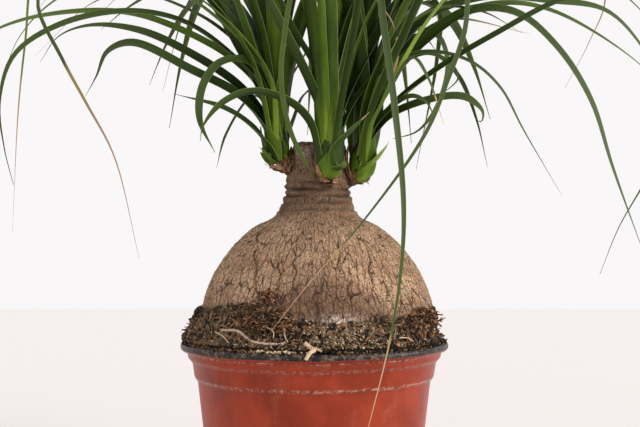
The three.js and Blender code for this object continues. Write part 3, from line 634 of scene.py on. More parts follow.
TRUNK_OUTLINE = [
    (30, 78), (58, 92), (72, 110), (79, 128), (82.2, 148), (81.6, 167), (77.6, 181.5), (71.2, 195.8),
    (61.6, 210), (55, 217), (46.6, 224.3), (40.5, 228), (33, 231.4), (28.4, 235), (26.4, 239),
    (23.8, 245.6), (22.7, 252.7), (22.9, 259), (22, 264), (20.4, 269), (19, 277), (18.2, 284),
]
TRUNK_SIDES = 440
BARK_SHOWS_FROM = 146
NECK_FROM = 228
BARK_SEED = 23
PLATE_SIZE = 4.4
CRACK_WIDTH = 0.62

# Rings of the trunk below the soil, and how far apart they are where the bark shows
BURIED_ROWS = 12
ROW_SPACING = 0.95

# Rings across the cut top of the trunk, as shares of its radius
CUT_FACE_RINGS = (0.93, 0.8, 0.6, 0.4, 0.2, 0.05)

# Dark grooves where old leaf rings end round the neck: height and strength
NECK_GROOVES = ((257.6, 0.75), (252.8, 1.15), (248.4, 1.15), (243.6, 0.85), (238.4, 0.85))
GROOVE_WIDTH = 1.05

# Radius at which the bark is spread out flat for its pattern
SHEET_RADIUS = 70

# Pale mineral bloom on the front: x and its spread, z and its spread, and strength
BLOOM_PATCHES = ((-9, 6, 280, 4, 0.7), (17, 13, 164, 4.5, 1))

# How far the cut top's bloom reaches down
TOP_BLOOM = 5

# Height up to which the bark is darker, how much higher in front, and how softly it ends
DARKENING_TOP = 184
DARKENING_IN_FRONT = 24
DARKENING_FADE = 24

# Deep splits in the front of the bark, as x and z along each split, with its half width
SPLITS = [
    ([(-39, 213), (-40.5, 206), (-38.5, 200), (-40, 193), (-38.5, 187), (-40.5, 181), (-39, 172)], 0.55),
    ([(-38, 224), (-39.5, 220), (-38.5, 216)], 0.7),
    ([(-30, 184), (-31, 178), (-29, 172), (-31, 166)], 0.9),
    ([(1, 178), (3, 172), (2, 167), (5, 161), (5, 156)], 1.3),
    ([(-14, 212), (-12, 207), (-14, 203), (-11.5, 198), (-13, 192)], 0.45),
    ([(-23, 208), (-24, 201), (-22, 195), (-25, 188)], 0.3),
    ([(16, 216), (18, 209), (16, 202), (18.5, 196)], 0.25),
    ([(23, 199), (24.5, 192), (22.5, 185), (25, 178)], 0.25),
    ([(36, 213), (38, 205), (37, 198), (39.5, 190), (38.5, 184)], 0.4),
    ([(57, 186), (59, 178), (58, 171)], 0.4),
    ([(48, 188), (50, 184), (49, 180)], 0.8),
]


def outline_rows():
    """Radius and height of the trunk's rings: wide apart below the soil, close where bark shows."""
    p = np.array([TRUNK_OUTLINE[0], *TRUNK_OUTLINE, TRUNK_OUTLINE[-1]], float)
    dense = []
    for a, b, c, d in zip(p, p[1:], p[2:], p[3:]):
        t = np.linspace(0, 1, 60, endpoint=False)[:, None]
        dense.append(0.5 * (2 * b + (c - a) * t + (2 * a - 5 * b + 4 * c - d) * t ** 2
                            + (3 * b - a - 3 * c + d) * t ** 3))
    dense = np.vstack([*dense, p[-1][None]])
    reach = np.concatenate([[0], np.cumsum(np.linalg.norm(np.diff(dense, axis=0), axis=1))])
    shown = reach[np.argmax(dense[:, 1] > BARK_SHOWS_FROM)]
    wanted = np.concatenate([np.linspace(0, shown, BURIED_ROWS, endpoint=False),
                             np.arange(shown, reach[-1], ROW_SPACING), reach[-1:]])
    return np.interp(wanted, reach, dense[:, 0]), np.interp(wanted, reach, dense[:, 1]), wanted


def bark_relief(angle, z):
    """The CAD source's lumps on the swollen base and ridges round the neck."""
    lumps = np.sin(3 * angle + 0.05 * z) + 0.7 * np.sin(5 * angle - 0.09 * z + 1.3)
    ridges = sum(bell(z, ring, 1.6) for ring in NECK_RINGS)
    return lumps * eased(0.9, 0.4, (z - NECK_FROM) / 10) + ridges * 0.9


def plate_centres(radius, reach, random):
    """Middles of the bark plates, in jittered rings whose plates narrow with the trunk."""
    centres = []
    for row, along in enumerate(np.arange(reach[0], reach[-1], PLATE_SIZE)):
        r = np.interp(along, reach, radius)
        count = max(9, int(2 * math.pi * r / (0.55 * PLATE_SIZE + 0.022 * r)))
        for k in range(count):
            angle = 2 * math.pi * (k + 0.5 * (row % 2) + 0.8 * (random.random() - 0.5)) / count
            shift = along + 0.75 * PLATE_SIZE * (random.random() - 0.5)
            here = np.interp(shift, reach, radius)
            centres.append((here * math.cos(angle), here * math.sin(angle), shift))
    return centres


def bark_plates(angle, radius, reach, random):
    """At each point of the bark, how far down a crack it lies and the tone of its plate."""
    centres = plate_centres(radius[:, 0], reach[:, 0], random)
    tones = random.random(len(centres))
    tree = KDTree(len(centres))
    for k, centre in enumerate(centres):
        tree.insert(centre, k)
    tree.balance()
    weave = 0.9 * np.sin(reach / 2.3 + 5 * np.sin(11 * angle)) / radius
    places = around(radius, angle + weave, reach).reshape(-1, 3)
    crack = np.zeros(len(places))
    tone = np.zeros(len(places))
    for k, place in enumerate(places):
        (a, nearest, da), (b, _, db) = tree.find_n(place, 2)
        apart = b - a
        gap = (db * db - da * da) / (2 * apart.length)
        upright = 1 - abs(apart.z) / apart.length
        crack[k] = bell(gap, 0, CRACK_WIDTH) * (0.3 + 0.7 * upright)
        tone[k] = tones[nearest]
    return crack.reshape(radius.shape[0], -1), tone.reshape(radius.shape[0], -1)


def split_depth(points):
    """How far into one of the deep splits each point of the front bark lies, from 0 to 1."""
    x, y, z = np.moveaxis(points, -1, 0)
    depth = np.zeros_like(x)
    for route, half_width in SPLITS:
        line, _ = curve_through([(px, 0, pz) for px, pz in route], 30)
        for k, (lx, _, lz) in enumerate(line):
            taper = math.sin(math.pi * (k + 1) / (len(line) + 1)) ** 0.5
            reach = np.hypot(x - lx, 0.6 * (z - lz)) / (0.8 * half_width * taper + 0.2)
            depth = np.maximum(depth, bell(reach, 0, 1) * (y < 0))
    return depth


def ring_lines(z, angle):
    """How far into one of the grooves round the neck each point lies, from 0 to 1."""
    lines = 0
    for k, (height, strength) in enumerate(NECK_GROOVES):
        at = height + 0.5 * np.sin(2 * angle + k) + 0.3 * np.sin(7 * angle + 2 * k)
        faint = 0.75 + 0.25 * np.sin(3 * angle + 1.7 * k)
        lines = lines + strength * faint * bell(z, at, GROOVE_WIDTH)
    return np.clip(lines, 0, 1)


def bark_rings(radius, z, angle, relief, fine):
    """The trunk's rings with their relief, of which the fine part stands square to the outline."""
    slope_r = np.gradient(z[:, 0])[:, None]
    slope_z = -np.gradient(radius[:, 0])[:, None]
    size = np.hypot(slope_r, slope_z)
    out = radius + (relief + fine) * np.maximum(slope_r / size, 0.35)
    shift = smooth((z - 226) / 50)
    middle = TRUNK_AXIS[0] + NECK_SHIFT[0] * shift, NECK_SHIFT[1] * shift
    return around(out, angle, z + fine * slope_z / size, middle)


def cut_face(edge, random):
    """Uneven rings across the cut top, inside the last ring of the bark."""
    middle = np.array([TRUNK_AXIS[0] + NECK_SHIFT[0], NECK_SHIFT[1], 0])
    rings = []
    for share in CUT_FACE_RINGS:
        ring = middle + (edge - middle) * (share, share, 1)
        ring[:, 2] = TRUNK_TOP - 0.4 + 0.7 * share + random.normal(0, 0.35, TRUNK_SIDES)
        rings.append(ring)
    return rings


def bloom(points):
    """Pale mineral bloom on the cut top and in patches on the front, from 0 to 1."""
    x, y, z = np.moveaxis(points, -1, 0)
    patches = [strength * bell(x, at_x, wide) * bell(z, at_z, high) * (y < 0)
               for at_x, wide, at_z, high, strength in BLOOM_PATCHES]
    return np.maximum.reduce([*patches, 0.3 * smooth((z - TRUNK_TOP + TOP_BLOOM) / 3)])


def damp(points):
    """How much darker the bark is, from 0 to 1: toward the soil, reaching higher in front, and from the
    neck up.
    """
    x, y, z = np.moveaxis(points, -1, 0)
    damp_below = DARKENING_TOP + DARKENING_IN_FRONT * bell(x, 3, 29) * (y < 0)
    return np.maximum(0.95 * smooth((damp_below - z) / DARKENING_FADE), 0.66 * smooth((z - NECK_FROM) / 14))


def make_trunk():
    random = np.random.default_rng(BARK_SEED)
    radius, z, reach = (v[:, None] for v in outline_rows())
    angle = turns(TRUNK_SIDES)[None]
    neck = smooth((z - 232) / 8)
    crack, plate = bark_plates(angle, radius, reach, random)
    crack = crack * (1 - 0.45 * neck)
    relief = bark_relief(angle, z)
    splits = split_depth(around(radius + relief, angle, z, TRUNK_AXIS))
    grooves = ring_lines(z, angle) * neck
    scurf = random.normal(0, 0.14, relief.shape) * (z > BARK_SHOWS_FROM)
    fine = 0.35 - 0.5 * crack - 2 * splits - 2 * grooves + scurf + 0.25 * plate
    bark = bark_rings(radius, z, angle, relief, fine)
    top = cut_face(bark[-1], random)
    points = np.concatenate([bark, top])
    cracks = np.clip(np.maximum.reduce([0.15 * crack, 1.05 * splits, grooves]), 0, 1)
    from_front = (angle - math.pi / 2) % (2 * math.pi) - math.pi
    sheet = np.stack(np.broadcast_arrays(SHEET_RADIUS * from_front, 0.8 * reach, 0), -1)
    make_piece("trunk_bark", points, grid_faces(len(points), TRUNK_SIDES), [bark_material()],
               "bark", ["trunk"], sheet=np.concatenate([sheet, top]), bloom=bloom(points),
               crack=np.concatenate([cracks, np.zeros((len(top), TRUNK_SIDES))]), damp=damp(points))


# Soil

SOIL_SIDES = 300
SOIL_SEED = 5

# Radius and height of the soil inside the pot, and insets of the rings that cross the mound
SOIL_IN_POT = ((66, 5.5), (80.4, 118), (84, 132), (87.4, 137), (88, 145.6))
MOUND_INSETS = [*np.linspace(0, 14, 22), 20, 40, 89]

# Radius and height of the soil at its edge, and how far in from there it rises and how high
SOIL_EDGE = 90.6
SOIL_LEVEL = 147.4
MOUND_REACH = 13
MOUND_HEIGHT = 13

# Higher mounds: direction, spread and height
MOUNDS = ((3.4, 0.9, 8), (4.15, 0.35, 7))

# Inset past which the trunk hides the soil, and the height of the hidden soil
UNDER_TRUNK = 18
HIDDEN_LEVEL = 160


def soil_edge(angle):
    """Radius of the soil's edge, which spills over the rim on the left."""
    return SOIL_EDGE + 3.6 * bell(angle, math.pi, 0.5) + 0.5 * np.sin(7 * angle)


def soil_height(radius, angle):
    """Height of the soil, mounded towards the trunk and lumpy."""
    rise = smooth((soil_edge(angle) - radius) / MOUND_REACH)
    lumps = 0.8 * np.sin(9 * angle + 0.3 * radius) + 0.6 * np.sin(17 * angle - 0.5 * radius)
    spread = lumps * smooth((soil_edge(angle) - radius) / 3)
    mounds = sum(height * bell(angle, middle, width) for middle, width, height in MOUNDS)
    return SOIL_LEVEL + rise * (MOUND_HEIGHT + mounds) + spread


def make_soil():
    random = np.random.default_rng(SOIL_SEED)
    angle = turns(SOIL_SIDES)
    inset = np.array(MOUND_INSETS)[:, None]
    radius = soil_edge(angle) - inset
    height = soil_height(radius, angle) + random.normal(0, 0.45, radius.shape) * (inset < 16)
    mound = around(radius, angle, np.where(inset > UNDER_TRUNK, HIDDEN_LEVEL, height))
    in_pot = [around(r, angle, h) for r, h in (*SOIL_IN_POT, (0.99 * soil_edge(angle), 145.6))]
    points = np.concatenate([in_pot, mound])
    make_piece("soil_bed", points, grid_faces(len(points), SOIL_SIDES), [soil_material()], "soil", ["soil"])


# Loose pieces on the soil

SCATTER_SEED = 61

# Height at which the piles of torn bark start
PILE_FOOT = 160

# Grains: the range of their thickness for their length
ROUGH, ROUND = (0.3, 0.8), (0.6, 0.95)

# How far out from the bark loose soil lies on it
CRUMB_LIFT = 0.8

# A direction that no thread runs along
THREAD_SIDE = (0.31, 0.2, 0.93)

# Torn bark piled against the trunk: direction, spread, top and number of strips
PILES = [(4.27, 0.15, 185, 150), (4.12, 0.12, 176, 50), (5.72, 0.2, 172, 120)]

# Strips that stick out of the soil at the sides: direction, spread and how many
SIDE_STRIPS = ((6.2, 0.09, 12), (3.3, 0.09, 26))

# Large curls of bark lying on the soil: direction, spread and how many
CURLS = ((5.65, 0.2, 34), (4.2, 0.2, 40), (3.6, 0.2, 26))

# Pale roots on the soil in front, each as points along it
PALE_ROOTS = [
    [(-20.5, -78.5, 166), (-19, -81.5, 161.5), (-18.5, -85, 156), (-16.5, -88, 152.5)],
    [(-37, -72, 171), (-31, -76, 167), (-25, -79, 164), (-20, -79, 164)],
    [(-33, -79, 162), (-29, -81, 161), (-26, -83.5, 158.5), (-26, -86, 155)],
    [(57, -66, 153.5), (62, -62, 153), (67, -58.5, 150.5), (71, -56, 148.5)],
    [(-66, -56, 156.5), (-60, -64, 154), (-56, -70, 150.5), (-50, -75, 149.5)],
]

# Distance from the pale twig that loose pieces keep, so that it stays in sight
TWIG_CLEARANCE = 5

# Loose pieces: material, its darkest and lightest colour, colour of its flecks and size of its grain
LOOSE = {
    "bark_bits": ("bark_bit", (0.003, 0.0025, 0.002), (0.2, 0.11, 0.05), (0.2, 0.13, 0.075), 1.2),
    "soil_grit": ("grit", (0.13, 0.07, 0.03), (0.52, 0.4, 0.25), (0.66, 0.56, 0.4), 0.8),
    "moss_tufts": ("moss", (0.004, 0.005, 0.003), (0.2, 0.205, 0.145), (0.3, 0.3, 0.22), 0.7),
    "fine_roots": ("root_thread", (0.02, 0.011, 0.006), (0.34, 0.21, 0.11), (0.42, 0.3, 0.19), 1.5),
    "bark_strips": ("torn_bark", (0.03, 0.014, 0.007), (0.36, 0.17, 0.075), (0.52, 0.33, 0.19), 1.4),
}


def ball_shape():
    """A unit ball of 20 faces."""
    g = (1 + math.sqrt(5)) / 2
    corners = [(-1, g, 0), (1, g, 0), (-1, -g, 0), (1, -g, 0), (0, -1, g), (0, 1, g), (0, -1, -g),
               (0, 1, -g), (g, 0, -1), (g, 0, 1), (-g, 0, -1), (-g, 0, 1)]
    points = np.array(corners, float) / math.hypot(1, g)
    faces = [[a, b, c] for a in range(12) for b in range(a + 1, 12) for c in range(b + 1, 12)
             if max(np.linalg.norm(points[a] - points[b]), np.linalg.norm(points[b] - points[c]),
                    np.linalg.norm(points[a] - points[c])) < 1.1]
    return points, [outward(points, face) for face in faces]


def outward(points, face):
    """The face, turned round where it would look inward."""
    a, b, c = (points[i] for i in face)
    return face if np.dot(np.cross(b - a, c - a), a) > 0 else face[::-1]


def turning(random):
    """A random rotation."""
    turn, _ = np.linalg.qr(random.normal(size=(3, 3)))
    return turn * np.sign(np.linalg.det(turn))


def add_grain(heap, random, ball, place, size, flat, tone):
    points, faces = ball
    lumpy = points * (1 + 0.28 * random.normal(size=(len(points), 1)))
    shape = lumpy * size * np.array([1, random.uniform(0.55, 0.95), random.uniform(*flat)])
    heap.add(shape @ turning(random).T + place, faces, tone=tone)


def add_thread(heap, points, radius_from, radius_to, tone, sides, steps, flat=1.0):
    """A root, twig or strip: a tapered tube along the points, flat times as thick as it is wide."""
    line, _ = curve_through(points, steps)
    turn = 2 * math.pi * np.arange(sides)[:, None] / sides
    rings = []
    for k, (centre, _, side, up) in enumerate(swept(line, np.cross(line[1] - line[0], THREAD_SIDE))):
        radius = radius_from + (radius_to - radius_from) * k / (steps - 1)
        rings.append(centre + radius * (np.cos(turn) * side + flat * np.sin(turn) * up))
    heap.add(rings, tube_faces(steps, sides), tone=tone)


def bark_radius(angle, z):
    """Radius of the bark without its fine relief."""
    outline = np.array(TRUNK_OUTLINE)
    return np.interp(z, outline[:, 1], outline[:, 0]) + bark_relief(angle, z)


def soil_surface(angle, inset):
    """A place on the soil, inset from its edge; past the soil it climbs the foot of the trunk."""
    radius = soil_edge(angle) - inset
    height = soil_height(radius, angle)
    x, y = around(radius, angle, height)[:2] - TRUNK_AXIS
    about = math.atan2(y, x)
    inside = bark_radius(about, height) + CRUMB_LIFT - math.hypot(x, y)
    if inside <= 0:
        return around(radius, angle, height)
    return bark_surface(about, height + (0.3 + 0.6 * abs(math.cos(angle))) * inside, CRUMB_LIFT)


def bark_surface(angle, z, off):
    """A place off millimetres out from the bark."""
    return around(bark_radius(angle, z) + off, angle, z, TRUNK_AXIS)


def on_rim(angle, reach, off):
    """A place on the rolled rim at a reach from the pot's middle, off millimetres over it."""
    return around(reach, angle, RIM_TOP + off)


def clear_of_twig(place):
    line, _ = curve_through(TWIG, 30)
    return np.linalg.norm(line - place, axis=1).min() > TWIG_CLEARANCE


def add_strip(heap, random, place, tone, size):
    """A short curled strip of torn bark."""
    length = random.uniform(3, 9) * size
    heading = turning(random)
    arc = random.uniform(0.4, 2.6)
    t = np.linspace(-0.5, 0.5, 5)[:, None] * arc
    curl = np.hstack([np.sin(t), 1 - np.cos(t), 0.15 * t]) * length / arc
    flat = heading[:, 2] * (0.55, 0.55, 0.3)
    route = curl @ heading.T * (1, 1, 0.55) + place + np.abs(flat)
    add_thread(heap, route, random.uniform(0.5, 1.3) * size ** 0.5, 0.35, tone, 5, 9, 0.35)


def root_route(random, angle):
    """A short loose root that wanders over the soil."""
    inset = random.uniform(1, 12)
    points = []
    for _ in range(4):
        lift = (0, 0, random.uniform(0.4, 2.6))
        points.append(soil_surface(angle, inset) + lift)
        angle += random.normal(0, 0.055)
        inset = min(15, max(0.5, inset + random.normal(0, 3)))
    return points


def anywhere(random):
    return random.uniform(0, 2 * math.pi)


def near(middle, spread, share=1):
    """A rule for directions: a share of the pieces is near middle and the rest anywhere."""
    def direction(random):
        if share == 1 or random.random() < share:
            return random.normal(middle, spread)
        return anywhere(random)

    return direction


def between(low, high):
    """A rule for tones: evenly spread."""
    return lambda random, angle: random.uniform(low, high)


def mossy(random, angle):
    """A tone for moss: mostly dark."""
    return 0.5 * random.random() ** 1.6


def tone_with_painted_shade(random, angle):
    """A tone for a loose piece: most are near black, and more of them on the right side as painted shade.
    """
    # Painted shade: the share of near-black pieces grows toward the right side
    dark = 0.5 + 0.2 * smooth((math.cos(angle) - 0.2) / 0.5)
    return random.uniform(0, 0.12) if random.random() < dark else random.uniform(0.35, 1)


def strew_grains(heap, random, count, where, tone, inset, lift, size, flat, clear=False):
    """Grains on the soil, inset from its edge and lift millimetres over it."""
    ball = ball_shape()
    for _ in range(count):
        angle = where(random)
        place = soil_surface(angle, random.uniform(*inset))
        if not clear or clear_of_twig(place):
            add_grain(heap, random, ball, place + (0, 0, lift), random.uniform(*size), flat,
                      tone(random, angle))


def line_rim(heap, random, count, where, tone, inner, lift, size, flat):
    """Grains on the rolled rim, lifted by a share of their size."""
    ball = ball_shape()
    for _ in range(count):
        angle, length = where(random), random.uniform(*size)
        place = on_rim(angle, random.uniform(inner, 94), lift * length)
        add_grain(heap, random, ball, place, length, flat, tone(random, angle))


def strew_strips(heap, random, count, where, tone, inset, lift, size, clear=True):
    """Curled strips on the soil, inset from its edge and lift millimetres over it."""
    for _ in range(count):
        angle = where(random)
        place = soil_surface(angle, random.uniform(*inset)) + (0, 0, lift)
        if not clear or clear_of_twig(place):
            add_strip(heap, random, place, tone(random, angle), size)


def strew_curls(strips, random):
    """Large curls of bark on the soil."""
    for middle, spread, count in CURLS:
        for _ in range(count):
            place = soil_surface(random.normal(middle, spread), random.uniform(2, 12)) + (0, 0, 1)
            if clear_of_twig(place):
                add_strip(strips, random, place, random.random(), random.uniform(1.4, 2.2))


def strew_roots(roots, random):
    """Fine loose roots all over the soil."""
    direction = near(3.9, 0.45, 0.4)
    for _ in range(520):
        route = root_route(random, direction(random))
        add_thread(roots, route, random.uniform(0.15, 0.45), 0.12, random.random(), 4, 8)


def pile_strips(strips, random):
    """Torn bark piled against the trunk."""
    for middle, spread, top, count in PILES:
        for _ in range(count):
            climb = random.random() ** 1.5
            angle = random.normal(middle, spread * (1.2 - climb))
            height = PILE_FOOT + (top - PILE_FOOT) * climb
            place = bark_surface(angle, height, random.uniform(0, 4.5) * (1.1 - climb))
            add_strip(strips, random, place, random.random() ** 2, 1.7)


def spill_strips(strips, random):
    """Torn bark that sticks out of the soil at the sides and lies on the rim."""
    for middle, spread, count in SIDE_STRIPS:
        for _ in range(count):
            place = soil_surface(random.normal(middle, spread), random.uniform(1, 6))
            lifted = place + (0, 0, random.uniform(0, 4))
            add_strip(strips, random, lifted, random.uniform(0, 0.3), 1.1)
    direction = near(4.1, 0.25, 0.5)
    for _ in range(110):
        place = on_rim(direction(random), random.uniform(89.5, 93.5), 0.5)
        add_strip(strips, random, place, random.uniform(0.2, 1), 0.75)


def make_scatter():
    random = np.random.default_rng(SCATTER_SEED)
    heaps = [Heap() for _ in LOOSE]
    bits, grit, moss, roots, strips = heaps
    strew_grains(bits, random, 2200, anywhere, tone_with_painted_shade, inset=(0.4, 15), lift=0.4, size=(0.7, 2.4),
                 flat=ROUGH)
    strew_grains(bits, random, 220, anywhere, between(0, 0.4), inset=(0.8, 14), lift=0.6, size=(2, 3.6),
                 flat=(0.25, 0.6), clear=True)
    line_rim(bits, random, 760, near(4.1, 0.3, 0.25), tone_with_painted_shade, inner=88.5, lift=0.5, size=(0.5, 1.4),
             flat=ROUGH)
    strew_grains(grit, random, 760, near(4.75, 0.35, 0.5), between(0, 1), inset=(0.3, 13), lift=0.9,
                 size=(0.4, 1.2), flat=ROUND)
    line_rim(grit, random, 48, near(4.47, 0.1), between(0.6, 1), inner=89.5, lift=0.6, size=(0.6, 1.5),
             flat=ROUND)
    strew_grains(moss, random, 1800, near(3.6, 0.4, 0.4), mossy, inset=(0.5, 15), lift=0.8, size=(0.4, 1.3),
                 flat=(0.5, 0.9))
    strew_strips(moss, random, 330, near(3.98, 0.12), between(0.5, 1), inset=(0.3, 8), lift=1, size=0.5)
    strew_roots(roots, random)
    strew_strips(strips, random, 420, near(4.27, 0.2, 0.4), tone_with_painted_shade, inset=(1, 15), lift=0, size=1)
    strew_strips(grit, random, 260, near(5.0, 0.24), between(0, 0.9), inset=(0.5, 12), lift=0.8, size=0.85,
                 clear=False)
    for route in PALE_ROOTS:
        add_thread(grit, route, 0.55, 0.3, 0.75, 6, 14)
    pile_strips(strips, random)
    spill_strips(strips, random)
    strew_curls(strips, random)
    for heap, (name, look) in zip(heaps, LOOSE.items()):
        heap.make(name, scatter_material(*look), "soil")


# Twig and bark chip

TWIG = [(-61, -59, 158), (-50, -68.7, 158), (-39.5, -77.6, 151.8), (-26, -83.8, 150.9), (-18, -85.2, 151.6)]
TWIG_BRANCH = [(-55, -64.5, 158.4), (-58.5, -60.5, 160.2), (-62, -57, 161.4)]
CHIP = [(-5.5, -87.5, 151.5), (-1.5, -90, 148.8), (0.5, -93, 147.8), (-2, -97.2, 146.5), (-5, -98.2, 142)]
CHIP_BRANCH = [(-1.5, -90, 148.8), (2.6, -91, 148), (5.6, -91.4, 146.8)]


def make_twig():
    heap = Heap()
    add_thread(heap, TWIG, 1.15, 0.8, 0.7, 12, 40)
    add_thread(heap, TWIG_BRANCH, 0.8, 0.45, 0.6, 10, 16)
    heap.make("pale_twig", scatter_material("pale_wood", (0.18, 0.12, 0.08), (0.5, 0.37, 0.28),
                                            (0.6, 0.49, 0.39), 1.8), "pale_wood", ["twig"])


def make_chip():
    heap = Heap()
    add_thread(heap, CHIP, 1.6, 1.2, 0.7, 14, 30)
    add_thread(heap, CHIP_BRANCH, 1.2, 0.8, 0.5, 12, 16)
    heap.make("tan_bark_chip", scatter_material("tan_wood", (0.25, 0.15, 0.07), (0.58, 0.42, 0.26),
                                                (0.68, 0.56, 0.42), 2.0), "tan_wood", ["bark_chip"])


# Leaves

LEAF_ROWS = 64
STEM_SIDES = 28

# Clasping scales: rows, and columns and thickness of a green one
SHEET_ROWS = 9
BRACT_COLUMNS = 15
BRACT_THICKNESS = 0.7

LEAF_ACROSS = np.array([-1, -0.92, -0.64, -0.34, -0.1, 0.1, 0.34, 0.64, 0.92, 1])

# Radius to which a leaf's base curls round the stem, and how far along it opens flat
CLASP_RADIUS = 8.5
CLASP_REACH = 75

# How strongly an open blade is still curved across, and, at its base and its tip, how far each half
# folds up in degrees and its thickness
OPEN_CURVE = 0.015
FOLD = (26, 10)
THICKNESS = (1.3, 0.6)

# How far the pattern of veins is shifted from one leaf or bract to the next
LEAF_SHIFT, BRACT_SHIFT = 37, 53

# Length of the broad sheath that a leaf starts with
SHEATH_LENGTH = 26

# Share of a leaf's length where it starts to narrow, and the leaves that start elsewhere
NARROWS_FROM = 0.58
BROAD_TIPS = {("left", 1): 0.7, ("left", 11): 0.78, ("left", 10): 0.78, ("centre", 0): 0.75,
              ("centre", 1): 0.93, ("right", 5): 0.75, ("right", 7): 0.75, ("right", 10): 0.4,
              ("centre", 2): 0.5}

# Leaves that follow a rule: how far up a head they start and how many points each has
ARCH_START = 14
ARCH_POINTS = 6
YOUNG_SEED = LEAF_SEED + 40

# Share of a leaf's length that its point takes up
POINTED_SHARE = 0.03

# A leaf with a smaller dry share than this is green to its tip
DRY_SHOWS = 0.15

# How much lighter a leaf's underside is
UNDER_LIGHTER = 0.06


def head_axis(head):
    azimuth, tilt = math.radians(head["azimuth"]), math.radians(head["tilt"])
    return around(math.sin(tilt), azimuth, math.cos(tilt))


def along_head(head, distance):
    return np.array(head["seat"], float) + head_axis(head) * distance


def half_width(width, narrows, along, length):
    """Half a leaf's width at a share along it: widest in the sheath, then tapering from narrows."""
    sheath = eased(1.35, 1, along * length / SHEATH_LENGTH)
    taper = (1 - 0.25 * along) * (1 - smooth((along - narrows) / (1 - narrows)))
    return (width * sheath * taper + 0.6) / 2


def leaf_line(head, route):
    """A leaf's places from inside its head, its length and a level direction across it."""
    seat = np.array(head["seat"], float)
    x, y, _ = route[len(route) // 2] - seat
    azimuth = math.atan2(y, x)
    spread = math.acos(min(1, np.dot(unit(route[0] - seat), head_axis(head))))
    set_back = eased(0.3, 0.9, spread / math.radians(WIDE_SPREAD))
    out = around(head["radius"] * set_back, azimuth, 0)
    start = along_head(head, LEAF_START - 5 * set_back) + out
    return *curve_through([start, *route], LEAF_ROWS), around(1, azimuth + math.pi / 2, 0)


def blade_ring(along, length, half):
    """Across a blade: distance to the side, rise of the upper face and thickness."""
    u = LEAF_ACROSS[:, None]
    clasp = 1 - smooth(along * length / CLASP_REACH)
    bend = clasp / CLASP_RADIUS + OPEN_CURVE
    fold = math.radians(eased(*FOLD, 2 * along)) * (1 - clasp)
    reach = u * half * math.cos(fold)
    rise = (1 - np.cos(reach * bend)) / bend + np.abs(u) ** 1.3 * half * math.sin(fold)
    thick = eased(*THICKNESS, 1.6 * along) * (1 - 0.82 * u * u) * min(1, half / 2)
    return np.sin(reach * bend) / bend, rise, thick


def blade_fields(width, narrows, length, index, green, dry):
    """Values over a blade: place on it, shares across and along, lightness and dryness."""
    u = np.concatenate([LEAF_ACROSS, LEAF_ACROSS[::-1]]) * np.ones((LEAF_ROWS, 1))
    along = np.linspace(0, 1, LEAF_ROWS)[:, None] + 0 * u
    sideways = u * half_width(width, narrows, along, length)
    base_light = eased(0.5, 0, along * length / 70)
    under = UNDER_LIGHTER * (np.arange(u.shape[1]) >= len(LEAF_ACROSS))
    return {"blade": np.stack([sideways, along * length, np.full_like(u, LEAF_SHIFT * index)], -1),
            "across": u, "along": along,
            "green": green + base_light * (0.4 + 0.6 * green) + under,
            "dry": smooth((along - (1 - dry)) / (0.6 * dry)) * (dry > DRY_SHOWS)}


def add_leaf(foliage, name, index, width, roll, green, dry, route):
    """One strap leaf along the same line as its solid: channelled, with a keel and fine margins."""
    narrows = BROAD_TIPS.get((name, index), NARROWS_FROM)
    line, length, level = leaf_line(HEADS[name], route)
    rings = []
    for k, (centre, ahead, side, up) in enumerate(swept(line, level)):
        along = k / (LEAF_ROWS - 1)
        lean = math.radians(roll) * smooth(along * 3)
        across = side * math.cos(lean) + up * math.sin(lean)
        down = np.cross(across, ahead)
        half = half_width(width, narrows, along, length) * min(1, (1 - along) / POINTED_SHARE)
        sideways, rise, thick = blade_ring(along, length, max(0.25, half))
        top = centre + across * sideways - down * rise
        rings.append(np.concatenate([top, (top + down * thick)[::-1]]))
    faces = [face[::-1] for face in tube_faces(LEAF_ROWS, len(rings[0]))]
    foliage.add(rings, faces, **blade_fields(width, narrows, length, index, green, dry))


def back_leaves(name):
    """The leaves on the far side of a head, by the CAD source's rule."""
    count, first, last = BACK_LEAVES[name]
    head = HEADS[name]
    draw = seeded(LEAF_SEED + len(name))
    leaves = []
    for k in range(count):
        azimuth = math.radians(first + (last - first) * ((k * 0.618 + 0.1 * draw()) % 1))
        length = 230 + 200 * draw()
        rise = 58 + 22 * draw()
        fall = -10 - 60 * draw()
        points = arching(head, azimuth, length, rise, fall, 1)
        leaves.append((9 + 4 * draw(), 20 - 40 * draw(), 0.2 + 0.1 * (k % 4), 0.1, points))
    return leaves


def foot_radius(name, height):
    """Radius of a head's packed leaf bases at a height over its seat."""
    heights, radii = zip(*FEET[name])
    return np.interp(height, heights, radii)


def round_head(head, turn):
    """Directions square to a head's axis, at angles from the one toward +X."""
    axis = head_axis(head)
    side = unit(np.cross((0, 1, 0), axis))
    turn = np.asarray(turn)[..., None]
    return np.cos(turn) * side + np.sin(turn) * np.cross(axis, side)


def young_leaves(name):
    """Upright leaves from the middle of a head that arch over above the others."""
    draw = seeded(YOUNG_SEED + len(name))
    leaves = []
    for k in range(YOUNG_LEAVES[name]):
        azimuth = 2.4 * k + draw()
        length = 190 + 150 * draw()
        rise, fall = 76 + 11 * draw(), 35 - 75 * draw()
        leaves.append((9 + 5 * draw(), 0, 0.25 + 0.5 * draw(), 0.08,
                       arching(HEADS[name], azimuth, length, rise, fall, 1.5)))
    return leaves


def arching(head, azimuth, length, rise, fall, late):
    """Points of a leaf that leaves its head at the angle rise and ends at the angle fall."""
    place = along_head(head, ARCH_START)
    points = []
    for i in range(ARCH_POINTS):
        elevation = math.radians(eased(rise, fall, ((i + 0.5) / (ARCH_POINTS - 0.3)) ** late))
        place = place + length / ARCH_POINTS * around(math.cos(elevation), azimuth, math.sin(elevation))
        points.append(place)
    return points


